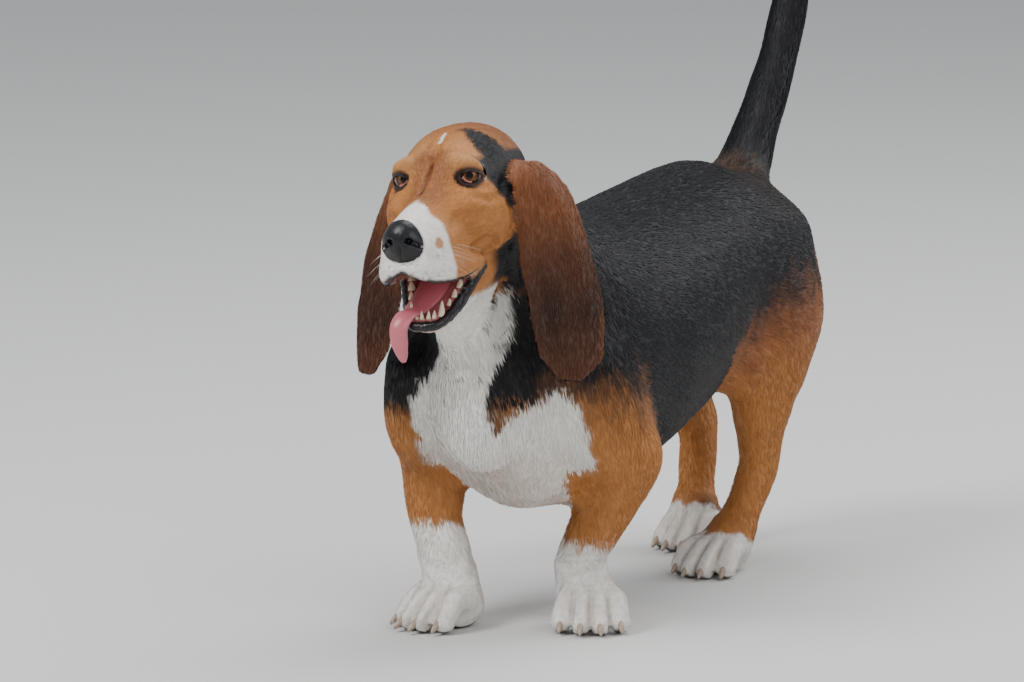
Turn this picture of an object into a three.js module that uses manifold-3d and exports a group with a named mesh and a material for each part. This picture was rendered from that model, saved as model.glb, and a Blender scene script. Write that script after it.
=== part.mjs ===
// A tricolour basset hound, standing, life size, in millimetres.
// The dog faces -Y, its left side is +X and +Z is up.
// The origin lies on the floor, under the middle of the dog's box.
//
// The flesh is one smooth field, negative inside, built up from tubes and blobs.
// It is meshed region by region, thinned to few faces, and parted with thin cuts.
import * as THREE from "three";
import { mergeVertices } from "three/addons/utils/BufferGeometryUtils.js";
import Module from "manifold-3d";

const wasm = await Module();
wasm.setup();

// Driving dimensions
const withers = 375; // floor to the top of the shoulders
const brisket = 99; // floor to the lowest point of the chest
const chestWidth = 208;
const frontEnd = -262; // last section of the chest, before its round end
const rearEnd = 229; // last section of the rump, before its round end
const skullWidth = 108;
const skullTop = 38; // above the eyes
const muzzleLength = 100; // eyes to the front of the nose
const eyeSpacing = 62;
const eyeRadius = 11.5;
const noseWidth = 40;
const earLength = 196;
const earWidth = 84;
const earThickness = 5;
const tailRadius = 24; // at the root
const pawWidth = 68; // a forepaw
const hindPawWidth = 62;
const gap = 0.3; // between neighbours, so that their meshes only face each other

// The head's own frame starts between the eyes, with the same directions as the dog's.
const headAt = [8, -372, 423];
const headTurn = { pitch: 2, roll: -6, yaw: 6 }; // degrees

const rad = THREE.MathUtils.degToRad;
const lerp = THREE.MathUtils.lerp;
const clamp = THREE.MathUtils.clamp;

// Joins two fields with a fillet about r wide.
function join(a, b, r) {
  const h = Math.max(r - Math.abs(a - b), 0) / r;
  return Math.min(a, b) - (h * h * h * r) / 6;
}

// Takes b out of a, with a rounded edge.
function carve(a, b, r) {
  return -join(-a, b, r);
}

// A field is only worked out close to its box; further off, the distance to the box will do.
const closeBy = 45;
function bounded(field, low, high) {
  return (x, y, z) => {
    const dx = Math.max(low[0] - x, 0, x - high[0]);
    const dy = Math.max(low[1] - y, 0, y - high[1]);
    const dz = Math.max(low[2] - z, 0, z - high[2]);
    const off = Math.hypot(dx, dy, dz);
    return off > closeBy ? off : field(x, y, z);
  };
}

// An ellipsoid, turned by degrees about X, Y and Z.
function blob(at, size, turn = [0, 0, 0]) {
  const [cx, cy, cz] = at;
  const [rx, ry, rz] = size;
  const spin = new THREE.Matrix4().makeRotationFromEuler(new THREE.Euler(...turn.map(rad)));
  const m = spin.transpose().elements;
  const reach = Math.max(...size);
  const field = (x, y, z) => {
    const px = x - cx;
    const py = y - cy;
    const pz = z - cz;
    const a = (m[0] * px + m[4] * py + m[8] * pz) / rx;
    const b = (m[1] * px + m[5] * py + m[9] * pz) / ry;
    const c = (m[2] * px + m[6] * py + m[10] * pz) / rz;
    const far = Math.hypot(a, b, c);
    const steep = Math.hypot(a / rx, b / ry, c / rz);
    return steep < 1e-9 ? -Math.min(...size) : (far * (far - 1)) / steep;
  };
  return bounded(
    field,
    at.map((v) => v - reach),
    at.map((v) => v + reach),
  );
}

// A tube through stations [x, y, z, w, h]: w is its half width along the side direction and
// h its half height across it. Taper narrows its top, and cap sets how far its round ends reach.
function tube(stations, { side = [1, 0, 0], taper = 0, cap = 1, steps = 3 } = {}) {
  const path = new THREE.CatmullRomCurve3(stations.map((s) => new THREE.Vector3(...s)));
  const count = (stations.length - 1) * steps;
  const across = new THREE.Vector3(...side);
  const rings = [];
  for (let i = 0; i <= count; i++) {
    const t = i / count;
    const k = Math.min(Math.floor(t * (stations.length - 1)), stations.length - 2);
    const f = t * (stations.length - 1) - k;
    const s = f * f * (3 - 2 * f);
    const along = path.getTangent(t);
    const a = across.clone().addScaledVector(along, -across.dot(along)).normalize();
    rings.push({
      at: path.getPoint(t),
      a,
      b: new THREE.Vector3().crossVectors(a, along),
      w: lerp(stations[k][3], stations[k + 1][3], s),
      h: lerp(stations[k][4], stations[k + 1][4], s),
    });
  }
  const parts = rings.slice(1).map((end, i) => {
    const start = rings[i];
    const d = end.at.clone().sub(start.at);
    return { start, end, d, length: d.length() };
  });
  const reach = Math.max(...stations.map((s) => Math.max(s[3], s[4])));
  const low = [0, 1, 2].map((k) => Math.min(...stations.map((s) => s[k])) - reach);
  const high = [0, 1, 2].map((k) => Math.max(...stations.map((s) => s[k])) + reach);
  const field = (x, y, z) => {
    let best = 1e9;
    for (const { start, end, d, length } of parts) {
      const px = x - start.at.x;
      const py = y - start.at.y;
      const pz = z - start.at.z;
      const t = clamp((px * d.x + py * d.y + pz * d.z) / (length * length), 0, 1);
      const qx = px - t * d.x;
      const qy = py - t * d.y;
      const qz = pz - t * d.z;
      const w = lerp(start.w, end.w, t);
      const h = lerp(start.h, end.h, t);
      const least = Math.min(w, h) * cap;
      const { a, b } = start;
      const { a: a1, b: b1 } = end;
      const qb = (lerp(b.x, b1.x, t) * qx + lerp(b.y, b1.y, t) * qy + lerp(b.z, b1.z, t) * qz) / h;
      let qa = (lerp(a.x, a1.x, t) * qx + lerp(a.y, a1.y, t) * qy + lerp(a.z, a1.z, t) * qz) / w;
      qa *= 1 + taper * clamp(qb, -1, 1);
      const qc = (qx * d.x + qy * d.y + qz * d.z) / length / least;
      const far = Math.hypot(qa, qb, qc);
      const steep = Math.hypot(qa / w, qb / h, qc / least);
      best = Math.min(best, steep < 1e-9 ? -least : (far * (far - 1)) / steep);
    }
    return best;
  };
  return bounded(field, low, high);
}

// Sections given by their top and bottom, along Y: [y, top, bottom, w].
const sections = (rows) => rows.map(([y, top, bottom, w]) => [0, y, (top + bottom) / 2, w, (top - bottom) / 2]);

// Trunk: the back is level, the chest is deep and the belly rises to the flank.
const half = chestWidth / 2;
const torso = tube(
  sections([
    [frontEnd, withers - 82, brisket + 66, half * 0.52],
    [-228, withers - 32, brisket + 24, half * 0.74],
    [-185, withers - 8, brisket + 4, half * 0.88],
    [-130, withers - 12, brisket, half * 0.98],
    [-60, withers - 18, brisket + 14, half * 1.03],
    [20, withers - 14, brisket + 38, half],
    [100, withers - 5, brisket + 62, half * 0.9],
    [170, withers, brisket + 85, half * 0.83],
    [rearEnd, withers - 16, brisket + 120, half * 0.68],
  ]),
  { cap: 0.62, steps: 2 },
);
const breastbone = blob([0, -268, 205], [40, 28, 58], [-12, 0, 0]);
const neck = tube(
  [
    [0, -178, 282, half * 0.68, 82],
    [1, -235, 312, half * 0.54, 76],
    [3, -288, 354, 49, 64],
    [5, -318, 390, 47, 54],
  ],
  { cap: 0.5, steps: 2 },
);
const dewlap = tube(
  [
    [0, -262, 232, 26, 26],
    [0, -318, 292, 20, 24],
    [0, -352, 338, 22, 18],
  ],
  { cap: 0.8, steps: 2 },
);

// Legs, each from the body down to its paw. The right foreleg and the left hind leg lead.
const foreleg = (side, forward) => [
  [side * 65, -210 - forward, 240, 35, 48],
  [side * 77, -188 - forward, 190, 36, 47],
  [side * 82, -150 - forward, 148, 31, 36],
];
const leftForearm = [
  [82, -148, 150, 30, 35],
  [72, -154, 116, 27, 28],
  [54, -162, 80, 23, 22],
  [45, -168, 56, 23, 23],
  [55, -178, 34, 25, 24],
];
const rightForearm = [
  [-86, -192, 150, 30, 35],
  [-86, -200, 116, 27, 28],
  [-76, -208, 80, 23, 22],
  [-62, -216, 56, 24, 23],
  [-54, -224, 34, 25, 24],
];
const leftHindLeg = [
  [52, 206, 296, 38, 62],
  [64, 190, 240, 43, 72],
  [70, 162, 192, 37, 56],
  [70, 156, 152, 28, 38],
  [67, 160, 122, 21, 31],
  [64, 163, 95, 17, 26],
  [60, 142, 58, 17, 20],
  [52, 126, 32, 22, 21],
];
const rightHindLeg = [
  [-52, 214, 296, 38, 62],
  [-62, 222, 240, 43, 70],
  [-64, 216, 196, 36, 54],
  [-58, 232, 158, 27, 38],
  [-48, 246, 130, 20, 30],
  [-42, 254, 105, 17, 25],
  [-36, 238, 62, 17, 20],
  [-31, 222, 34, 22, 21],
];
const legs = {
  leftShoulder: tube(foreleg(1, 0)),
  rightShoulder: tube(foreleg(-1, 42)),
  leftForearm: tube(leftForearm),
  rightForearm: tube(rightForearm),
  leftHindLeg: tube(leftHindLeg),
  rightHindLeg: tube(rightHindLeg),
};
const elbows = [blob([84, -124, 141], [14, 17, 19]), blob([-88, -168, 141], [14, 17, 19])];
const hocks = [blob([64, 184, 100], [10, 10, 16]), blob([-42, 276, 110], [10, 10, 16])];
const knees = [blob([68, 116, 196], [26, 28, 34]), blob([-60, 176, 200], [26, 28, 34])];

// A paw: four arched toes with claws and a heel pad, on the floor at a place and a heading.
// Heading 0 points along -Y, and turns towards +X.
function paw({ at, heading, width, length, height }) {
  const turn = rad(heading);
  const place = (across, ahead, up) => [
    at[0] + across * Math.cos(turn) + ahead * Math.sin(turn),
    at[1] + across * Math.sin(turn) - ahead * Math.cos(turn),
    up,
  ];
  const thick = width * 0.155;
  const toes = [-1.5, -0.5, 0.5, 1.5].map((row) => {
    const spread = (row * width) / 3.9;
    const reach = length * (Math.abs(row) > 1 ? 0.35 : 0.5);
    return {
      across: spread,
      tip: reach,
      field: tube(
        [
          [...place(spread * 0.62, -length * 0.12, height * 0.78), thick, thick],
          [...place(spread * 0.86, reach * 0.45, height * 0.72), thick * 1.02, thick],
          [...place(spread, reach, thick * 0.86), thick * 0.98, thick * 0.96],
        ],
        { side: [Math.cos(turn), Math.sin(turn), 0], steps: 2 },
      ),
    };
  });
  const heel = blob(place(0, -length * 0.16, height * 0.5), [width * 0.37, length * 0.3, height * 0.54], [0, 0, heading]);
  const pad = blob(place(0, -length * 0.02, height * 0.18), [width * 0.3, length * 0.26, height * 0.3], [0, 0, heading]);
  return { at, heading, thick, toes, heel, pad, place };
}
const forePaw = { width: pawWidth, length: pawWidth * 1.12, height: 36 };
const hindPaw = { width: hindPawWidth, length: hindPawWidth * 1.2, height: 32 };
const paws = {
  left_fore_paw: paw({ at: [64, -184], heading: 26, ...forePaw }),
  right_fore_paw: paw({ at: [-52, -236], heading: -22, ...forePaw }),
  left_hind_paw: paw({ at: [47, 112], heading: -4, ...hindPaw }),
  right_hind_paw: paw({ at: [-27, 222], heading: -4, ...hindPaw }),
};

// Tail: carried up like a sabre.
const tailPath = [
  [0, 244, 332, tailRadius * 1.25, tailRadius * 1.25],
  [0, 272, 366, tailRadius, tailRadius],
  [0, 300, 402, tailRadius * 0.86, tailRadius * 0.86],
  [0, 336, 448, tailRadius * 0.79, tailRadius * 0.79],
  [0, 363, 498, tailRadius * 0.73, tailRadius * 0.73],
  [0, 376, 550, tailRadius * 0.61, tailRadius * 0.61],
  [0, 376, 598, tailRadius * 0.45, tailRadius * 0.45],
  [0, 369, 636, tailRadius * 0.24, tailRadius * 0.24],
];
const tail = tube(tailPath);

// Head, in its own frame. It is the same on both sides, so it is worked out for x >= 0.
const headMatrix = new THREE.Matrix4()
  .makeRotationFromEuler(new THREE.Euler(rad(headTurn.pitch), rad(headTurn.roll), rad(headTurn.yaw), "ZXY"))
  .setPosition(...headAt);
const toHead = headMatrix.clone().invert().elements;
function inHead(field) {
  const m = toHead;
  return (x, y, z) =>
    field(
      Math.abs(m[0] * x + m[4] * y + m[8] * z + m[12]),
      m[1] * x + m[5] * y + m[9] * z + m[13],
      m[2] * x + m[6] * y + m[10] * z + m[14],
    );
}

const skull = tube(
  sections([
    [-2, 9, -52, 36],
    [24, skullTop - 9, -60, skullWidth * 0.45],
    [52, skullTop, -62, skullWidth * 0.5],
    [86, skullTop - 3, -52, skullWidth * 0.48],
    [112, skullTop - 18, -30, skullWidth * 0.36],
  ]),
  { cap: 0.5, taper: 0.08 },
);
const muzzle = tube(
  sections([
    [-muzzleLength + 14, -24, -64, 23],
    [-66, -17, -72, 28],
    [-34, -9, -76, 31],
    [-2, 1, -72, 36],
    [30, 10, -66, 42],
  ]),
  { cap: 0.5, taper: 0.3 },
);
const brow = blob([25, 0, 12], [17, 9, 7.5], [0, 14, 12]);
const cheek = blob([35, 26, -36], [19, 40, 30]);
const underEye = blob([29, -8, -25], [13, 20, 14]);
const noseBed = blob([0, -muzzleLength + 12, -40], [noseWidth * 0.43, 15, 18]);
const nostril = tube([
  [8, -muzzleLength - 6, -39, 3.6, 3.4],
  [8.5, -muzzleLength + 4, -40, 3, 2.6],
]);
const nostrilSlit = tube([
  [11, -muzzleLength - 1, -42, 1.6, 1.8],
  [17, -muzzleLength + 7, -46, 1.4, 1.5],
]);
const philtrum = blob([0, -muzzleLength - 4, -50], [1.1, 4.5, 10]);
const mandible = tube([
  [0, -54, -118, 16, 10],
  [0, -34, -110, 24, 14],
  [0, -4, -98, 30, 20],
  [0, 28, -82, 34, 26],
  [0, 60, -64, 38, 30],
]);
// The open mouth is a wedge, from its corner forward.
const mouthCorner = [-8, -76]; // y, z
const palateSlope = -0.06;
const floorSlope = 0.86;
function mouth(x, y, z) {
  const ahead = mouthCorner[0] - y;
  const roof = z - (mouthCorner[1] + 2 - palateSlope * ahead);
  const floor = (mouthCorner[1] - 2 - floorSlope * ahead - z) * 0.76;
  return -join(-Math.max(roof, floor), ahead, 8);
}
const upperLip = tube([
  [0, -94, -63, 5, 6],
  [11, -93, -66, 6, 8],
  [20, -86, -69, 7, 10],
  [27, -68, -72, 7, 12],
  [31, -44, -74, 7, 11],
  [34, -24, -74, 6, 8],
  [36, -8, -74, 5, 5],
]);
const lowerLip = tube([
  [0, -66, -120, 5, 5],
  [12, -63, -119, 5, 5],
  [20, -50, -112, 5, 5.5],
  [27, -30, -98, 5, 6],
  [33, -15, -85, 5, 6],
  [36, -6, -78, 5, 5],
]);
const eyeAt = [eyeSpacing / 2 - 1, 7, -1];
const eyeAhead = 22; // degrees that each eye looks outward
const socket = blob([eyeAt[0] + 3, eyeAt[1] - 11, eyeAt[2] - 1], [13, 8, 8.5], [0, 0, eyeAhead]);
const furrow = tube([
  [0, -32, -5, 1.6, 2],
  [0, -12, 5, 2.2, 2.6],
  [0, 6, 20, 2, 2.6],
  [0, 22, 31, 1.6, 2],
]);
const headField = inHead((x, y, z) => {
  let d = skull(x, y, z);
  d = join(d, muzzle(x, y, z), 22);
  d = join(d, cheek(x, y, z), 24);
  d = join(d, brow(x, y, z), 18);
  d = join(d, underEye(x, y, z), 12);
  d = join(d, noseBed(x, y, z), 10);
  d = join(d, mandible(x, y, z), 14);
  d = carve(d, mouth(x, y, z), 5);
  d = join(d, upperLip(x, y, z), 14);
  d = join(d, lowerLip(x, y, z), 5);
  d = carve(d, socket(x, y, z), 5);
  return carve(d, furrow(x, y, z), 5);
});

const noseField = inHead((x, y, z) => {
  let d = join(noseBed(x, y, z), muzzle(x, y, z), 10);
  d = carve(d, nostril(x, y, z), 2.5);
  d = carve(d, nostrilSlit(x, y, z), 2);
  return carve(d, philtrum(x, y, z), 2);
});

function pawField({ toes, heel, pad }) {
  return (x, y, z) => {
    let d = join(heel(x, y, z), pad(x, y, z), 6);
    let toe = 1e9;
    for (const { field } of toes) {
      toe = join(toe, field(x, y, z), 2.5);
    }
    d = join(d, toe, 9);
    return d;
  };
}
const pawFields = Object.values(paws).map(pawField);

// All the flesh in one field.
function flesh(x, y, z) {
  let d = torso(x, y, z);
  d = join(d, breastbone(x, y, z), 40);
  d = join(d, neck(x, y, z), 50);
  d = join(d, dewlap(x, y, z), 30);
  let leg = 1e9;
  leg = join(legs.leftShoulder(x, y, z), legs.leftForearm(x, y, z), 16);
  leg = Math.min(leg, join(legs.rightShoulder(x, y, z), legs.rightForearm(x, y, z), 16));
  leg = Math.min(leg, legs.leftHindLeg(x, y, z), legs.rightHindLeg(x, y, z));
  for (const bump of [...elbows, ...hocks, ...knees]) {
    leg = join(leg, bump(x, y, z), 14);
  }
  let foot = 1e9;
  for (const field of pawFields) {
    foot = Math.min(foot, field(x, y, z));
  }
  d = join(d, join(leg, foot, 10), 30);
  d = join(d, tail(x, y, z), 26);
  return join(d, headField(x, y, z), 30);
}

// Meshes where a field is zero inside a box, with one vertex in each cell that it crosses.
// What reaches out of the box is closed off at its side.
function surfaceOf(field, low, high, cell) {
  const size = [0, 1, 2].map((k) => Math.ceil((high[k] - low[k]) / cell) + 1);
  const [nx, ny, nz] = size;
  const at = (i, j, k) => (k * ny + j) * nx + i;
  const isRim = (...at) => at.some((v, m) => v === 0 || v === size[m] - 1);
  const value = new Float32Array(nx * ny * nz);
  // Blocks of cells that lie far from the surface all take the value at their middle.
  const block = 4;
  const far = 8 * cell;
  const blocks = size.map((n) => Math.ceil(n / block));
  const middles = new Float32Array(blocks[0] * blocks[1] * blocks[2]);
  const middleOf = (i, j, k) => ((k >> 2) * blocks[1] + (j >> 2)) * blocks[0] + (i >> 2);
  for (let k = 0; k < nz; k += block) {
    for (let j = 0; j < ny; j += block) {
      for (let i = 0; i < nx; i += block) {
        const at = [i, j, k].map((v, m) => low[m] + (v + 1.5) * cell);
        middles[middleOf(i, j, k)] = field(...at);
      }
    }
  }
  for (let k = 0; k < nz; k++) {
    for (let j = 0; j < ny; j++) {
      for (let i = 0; i < nx; i++) {
        const middle = middles[middleOf(i, j, k)];
        if (Math.abs(middle) > far) {
          value[at(i, j, k)] = middle > 0 || !isRim(i, j, k) ? middle : cell;
          continue;
        }
        const here = field(low[0] + i * cell, low[1] + j * cell, low[2] + k * cell) || 1e-6;
        value[at(i, j, k)] = isRim(i, j, k) ? Math.max(here, cell) : here;
      }
    }
  }
  // Where inside and outside meet crosswise on a cell's face, the weakest corner changes sides,
  // so that no edge of the mesh is shared by four faces.
  const strides = [1, nx, nx * ny];
  for (let changed = true; changed; ) {
    changed = false;
    for (let here = 0; here < value.length - strides[1] - strides[2]; here++) {
      for (const [p, q] of [[0, 1], [1, 2], [0, 2]]) {
        const face = [here, here + strides[p], here + strides[p] + strides[q], here + strides[q]];
        const [a, b, c, d] = face.map((n) => value[n] < 0);
        if (a === c && b === d && a !== b) {
          const weakest = face.reduce((m, n) => (Math.abs(value[n]) < Math.abs(value[m]) ? n : m));
          value[weakest] = (value[weakest] < 0 ? 1 : -1) * 0.05 * cell;
          changed = true;
        }
      }
    }
  }
  const corners = [0, 1, 2, 3, 4, 5, 6, 7].map((c) => [c & 1, (c >> 1) & 1, c >> 2]);
  const edges = [];
  for (let a = 0; a < 8; a++) {
    for (const bit of [1, 2, 4]) {
      if (!(a & bit)) {
        edges.push([a, a | bit]);
      }
    }
  }
  const vertex = new Int32Array(nx * ny * nz).fill(-1);
  const points = [];
  for (let k = 0; k < nz - 1; k++) {
    for (let j = 0; j < ny - 1; j++) {
      for (let i = 0; i < nx - 1; i++) {
        const v = corners.map(([a, b, c]) => value[at(i + a, j + b, k + c)]);
        let n = 0;
        const sum = [0, 0, 0];
        for (const [a, b] of edges) {
          if (v[a] < 0 !== v[b] < 0) {
            const t = v[a] / (v[a] - v[b]);
            for (let m = 0; m < 3; m++) {
              sum[m] += lerp(corners[a][m], corners[b][m], t);
            }
            n++;
          }
        }
        if (n) {
          vertex[at(i, j, k)] = points.length;
          points.push([
            low[0] + (i + sum[0] / n) * cell,
            low[1] + (j + sum[1] / n) * cell,
            low[2] + (k + sum[2] / n) * cell,
          ]);
        }
      }
    }
  }
  const faces = [];
  const quad = (...cells) => {
    const flip = cells.pop();
    const [a, b, c, d] = cells.map((cell) => vertex[cell]);
    const [p, q] = flip ? [b, d] : [d, b];
    faces.push([a, p, c], [a, c, q]);
  };
  for (let k = 0; k < nz - 1; k++) {
    for (let j = 0; j < ny - 1; j++) {
      for (let i = 0; i < nx - 1; i++) {
        const inside = value[at(i, j, k)] < 0;
        const crosses = (a, b, c) => value[at(a, b, c)] < 0 !== inside;
        if (j && k && crosses(i + 1, j, k)) {
          quad(at(i, j - 1, k - 1), at(i, j, k - 1), at(i, j, k), at(i, j - 1, k), inside);
        }
        if (i && k && crosses(i, j + 1, k)) {
          quad(at(i - 1, j, k - 1), at(i - 1, j, k), at(i, j, k), at(i, j, k - 1), inside);
        }
        if (i && j && crosses(i, j, k + 1)) {
          quad(at(i - 1, j - 1, k), at(i, j - 1, k), at(i, j, k), at(i - 1, j, k), inside);
        }
      }
    }
  }
  settle(points, field, cell);
  return { points, faces };
}

// Moves each point onto the surface, along the field's slope.
function settle(points, field, cell) {
  const e = cell * 0.1;
  for (const p of points) {
    const f = field(...p);
    const g = [0, 1, 2].map((k) => {
      const ahead = [...p];
      const behind = [...p];
      ahead[k] += e;
      behind[k] -= e;
      return (field(...ahead) - field(...behind)) / (2 * e);
    });
    const slope = Math.max(g[0] * g[0] + g[1] * g[1] + g[2] * g[2], 0.2);
    const move = clamp(f / slope, -cell * 0.4, cell * 0.4);
    for (let k = 0; k < 3; k++) {
      p[k] -= g[k] * move;
    }
  }
}

// A heap that gives back the row with the least first number.
class Heap {
  rows = [];
  push(row) {
    const { rows } = this;
    let i = rows.push(row) - 1;
    while (i > 0 && rows[(i - 1) >> 1][0] > row[0]) {
      rows[i] = rows[(i - 1) >> 1];
      i = (i - 1) >> 1;
    }
    rows[i] = row;
  }
  pop() {
    const { rows } = this;
    const top = rows[0];
    const last = rows.pop();
    if (rows.length) {
      let i = 0;
      for (;;) {
        let child = 2 * i + 1;
        if (child >= rows.length) {
          break;
        }
        if (child + 1 < rows.length && rows[child + 1][0] < rows[child][0]) {
          child++;
        }
        if (rows[child][0] >= last[0]) {
          break;
        }
        rows[i] = rows[child];
        i = child;
      }
      rows[i] = last;
    }
    return top;
  }
}

const cross = (a, b) => [a[1] * b[2] - a[2] * b[1], a[2] * b[0] - a[0] * b[2], a[0] * b[1] - a[1] * b[0]];
const minus = (a, b) => [a[0] - b[0], a[1] - b[1], a[2] - b[2]];
const dot = (a, b) => a[0] * b[0] + a[1] * b[1] + a[2] * b[2];

// Collapses the edges that change the shape least until about `keep` faces are left.
function thin({ points, faces }, keep) {
  const round = points.map(() => new Set());
  faces.forEach((face, f) => face.forEach((v) => round[v].add(f)));
  const live = faces.map(() => true);
  const stamp = new Int32Array(points.length);
  // Each point's error is v'Av + 2b'v + c, summed over the planes of its faces.
  const errors = points.map(() => new Float64Array(10));
  const normalOf = ([a, b, c], p = points) => cross(minus(p[b], p[a]), minus(p[c], p[a]));
  for (const face of faces) {
    const n = normalOf(face);
    const size = Math.hypot(...n) || 1e-12;
    const [x, y, z] = n.map((v) => v / size);
    const w = -dot([x, y, z], points[face[0]]);
    const plane = [x * x, x * y, x * z, x * w, y * y, y * z, y * w, z * z, z * w, w * w];
    for (const v of face) {
      plane.forEach((q, i) => {
        errors[v][i] += q * size;
      });
    }
  }
  const errorAt = (q, [x, y, z]) =>
    q[0] * x * x + 2 * q[1] * x * y + 2 * q[2] * x * z + 2 * q[3] * x + q[4] * y * y +
    2 * q[5] * y * z + 2 * q[6] * y + q[7] * z * z + 2 * q[8] * z + q[9];
  const bestFor = (a, b) => {
    const q = errors[a].map((v, i) => v + errors[b][i]);
    const middle = points[a].map((v, k) => (v + points[b][k]) / 2);
    const m = new THREE.Matrix3().set(q[0], q[1], q[2], q[1], q[4], q[5], q[2], q[5], q[7]);
    const scale = q[0] + q[4] + q[7];
    let at = middle;
    if (m.determinant() > 1e-3 * scale ** 3) {
      const solved = new THREE.Vector3(-q[3], -q[6], -q[8]).applyMatrix3(m.invert()).toArray();
      const length = Math.hypot(...minus(points[a], points[b]));
      if (Math.hypot(...minus(solved, middle)) < length) {
        at = solved;
      }
    }
    const length = Math.hypot(...minus(points[a], points[b]));
    return { at, q, cost: Math.max(errorAt(q, at), 0) + 1e-4 * length ** 3 };
  };
  const heap = new Heap();
  const offer = (a, b) => heap.push([bestFor(a, b).cost, a, b, stamp[a], stamp[b]]);
  faces.forEach(([a, b, c]) => [[a, b], [b, c], [c, a]].forEach(([i, j]) => i < j && offer(i, j)));
  const linked = (v) => {
    const found = new Set();
    round[v].forEach((f) => faces[f].forEach((u) => found.add(u)));
    found.delete(v);
    return found;
  };
  let left = faces.length;
  while (left > keep && heap.rows.length) {
    const [, a, b, sa, sb] = heap.pop();
    if (stamp[a] !== sa || stamp[b] !== sb || !round[a].size || !round[b].size) {
      continue;
    }
    const nearA = linked(a);
    const shared = [...linked(b)].filter((v) => nearA.has(v));
    if (shared.length !== 2) {
      continue;
    }
    const { at, q } = bestFor(a, b);
    const turns = [a, b].some((v) =>
      [...round[v]].some((f) => {
        const face = faces[f];
        if (face.includes(a) && face.includes(b)) {
          return false;
        }
        const before = normalOf(face);
        const [i, j, k] = face.map((u) => (u === v ? at : points[u]));
        const after = cross(minus(j, i), minus(k, i));
        return dot(before, after) < 0.35 * Math.hypot(...before) * Math.hypot(...after);
      }),
    );
    if (turns) {
      continue;
    }
    points[a] = at;
    errors[a] = q;
    stamp[a]++;
    for (const f of round[b]) {
      if (faces[f].includes(a)) {
        live[f] = false;
        left--;
        faces[f].forEach((v) => v !== b && round[v].delete(f));
      } else {
        faces[f] = faces[f].map((v) => (v === b ? a : v));
        round[a].add(f);
      }
    }
    round[b].clear();
    linked(a).forEach((v) => offer(a, v));
  }
  return { points, faces: faces.filter((_, f) => live[f]) };
}

// A closed solid from points and faces.
function solidOf({ points, faces }) {
  const used = new Map();
  const verts = [];
  const tris = faces.flat().map((v) => {
    if (!used.has(v)) {
      used.set(v, used.size);
      verts.push(...points[v]);
    }
    return used.get(v);
  });
  return new wasm.Manifold(
    new wasm.Mesh({ numProp: 3, vertProperties: new Float32Array(verts), triVerts: new Uint32Array(tris) }),
  );
}

// A closed solid from one of three's geometries, turned and placed by a matrix.
function solidFrom(geometry, matrix = new THREE.Matrix4()) {
  const plain = geometry.clone();
  plain.deleteAttribute("normal");
  plain.deleteAttribute("uv");
  const merged = mergeVertices(plain.applyMatrix4(matrix), 1e-3);
  return new wasm.Manifold(
    new wasm.Mesh({
      numProp: 3,
      vertProperties: merged.attributes.position.array,
      triVerts: new Uint32Array(merged.index.array),
    }),
  );
}

// A box whose face lies on a plane, reaching away along the plane's normal.
const farOff = 900;
function beyond(point, normal, shift = 0) {
  const n = new THREE.Vector3(...normal).normalize();
  const turn = new THREE.Quaternion().setFromUnitVectors(new THREE.Vector3(0, 0, 1), n);
  const centre = new THREE.Vector3(...point).addScaledVector(n, farOff / 2 + shift);
  const matrix = new THREE.Matrix4().compose(centre, turn, new THREE.Vector3(1, 1, 1));
  return solidFrom(new THREE.BoxGeometry(farOff * 2, farOff * 2, farOff), matrix);
}

const largest = (solid) => solid.decompose().sort((a, b) => b.volume() - a.volume())[0];

// What lies beyond all the cuts, each [point, normal into the piece], less half the gap.
function region(cuts, shift = gap / 2) {
  return cuts.map(([point, normal]) => beyond(point, normal, shift)).reduce((a, b) => a.intersect(b));
}
const keepBeyond = (solid, cuts) => largest(solid.intersect(region(cuts)));
const dropBeyond = (solid, cuts) => largest(solid.subtract(region(cuts, -gap / 2)));
const flip = ([point, normal]) => [point, normal.map((v) => -v)];

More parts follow.
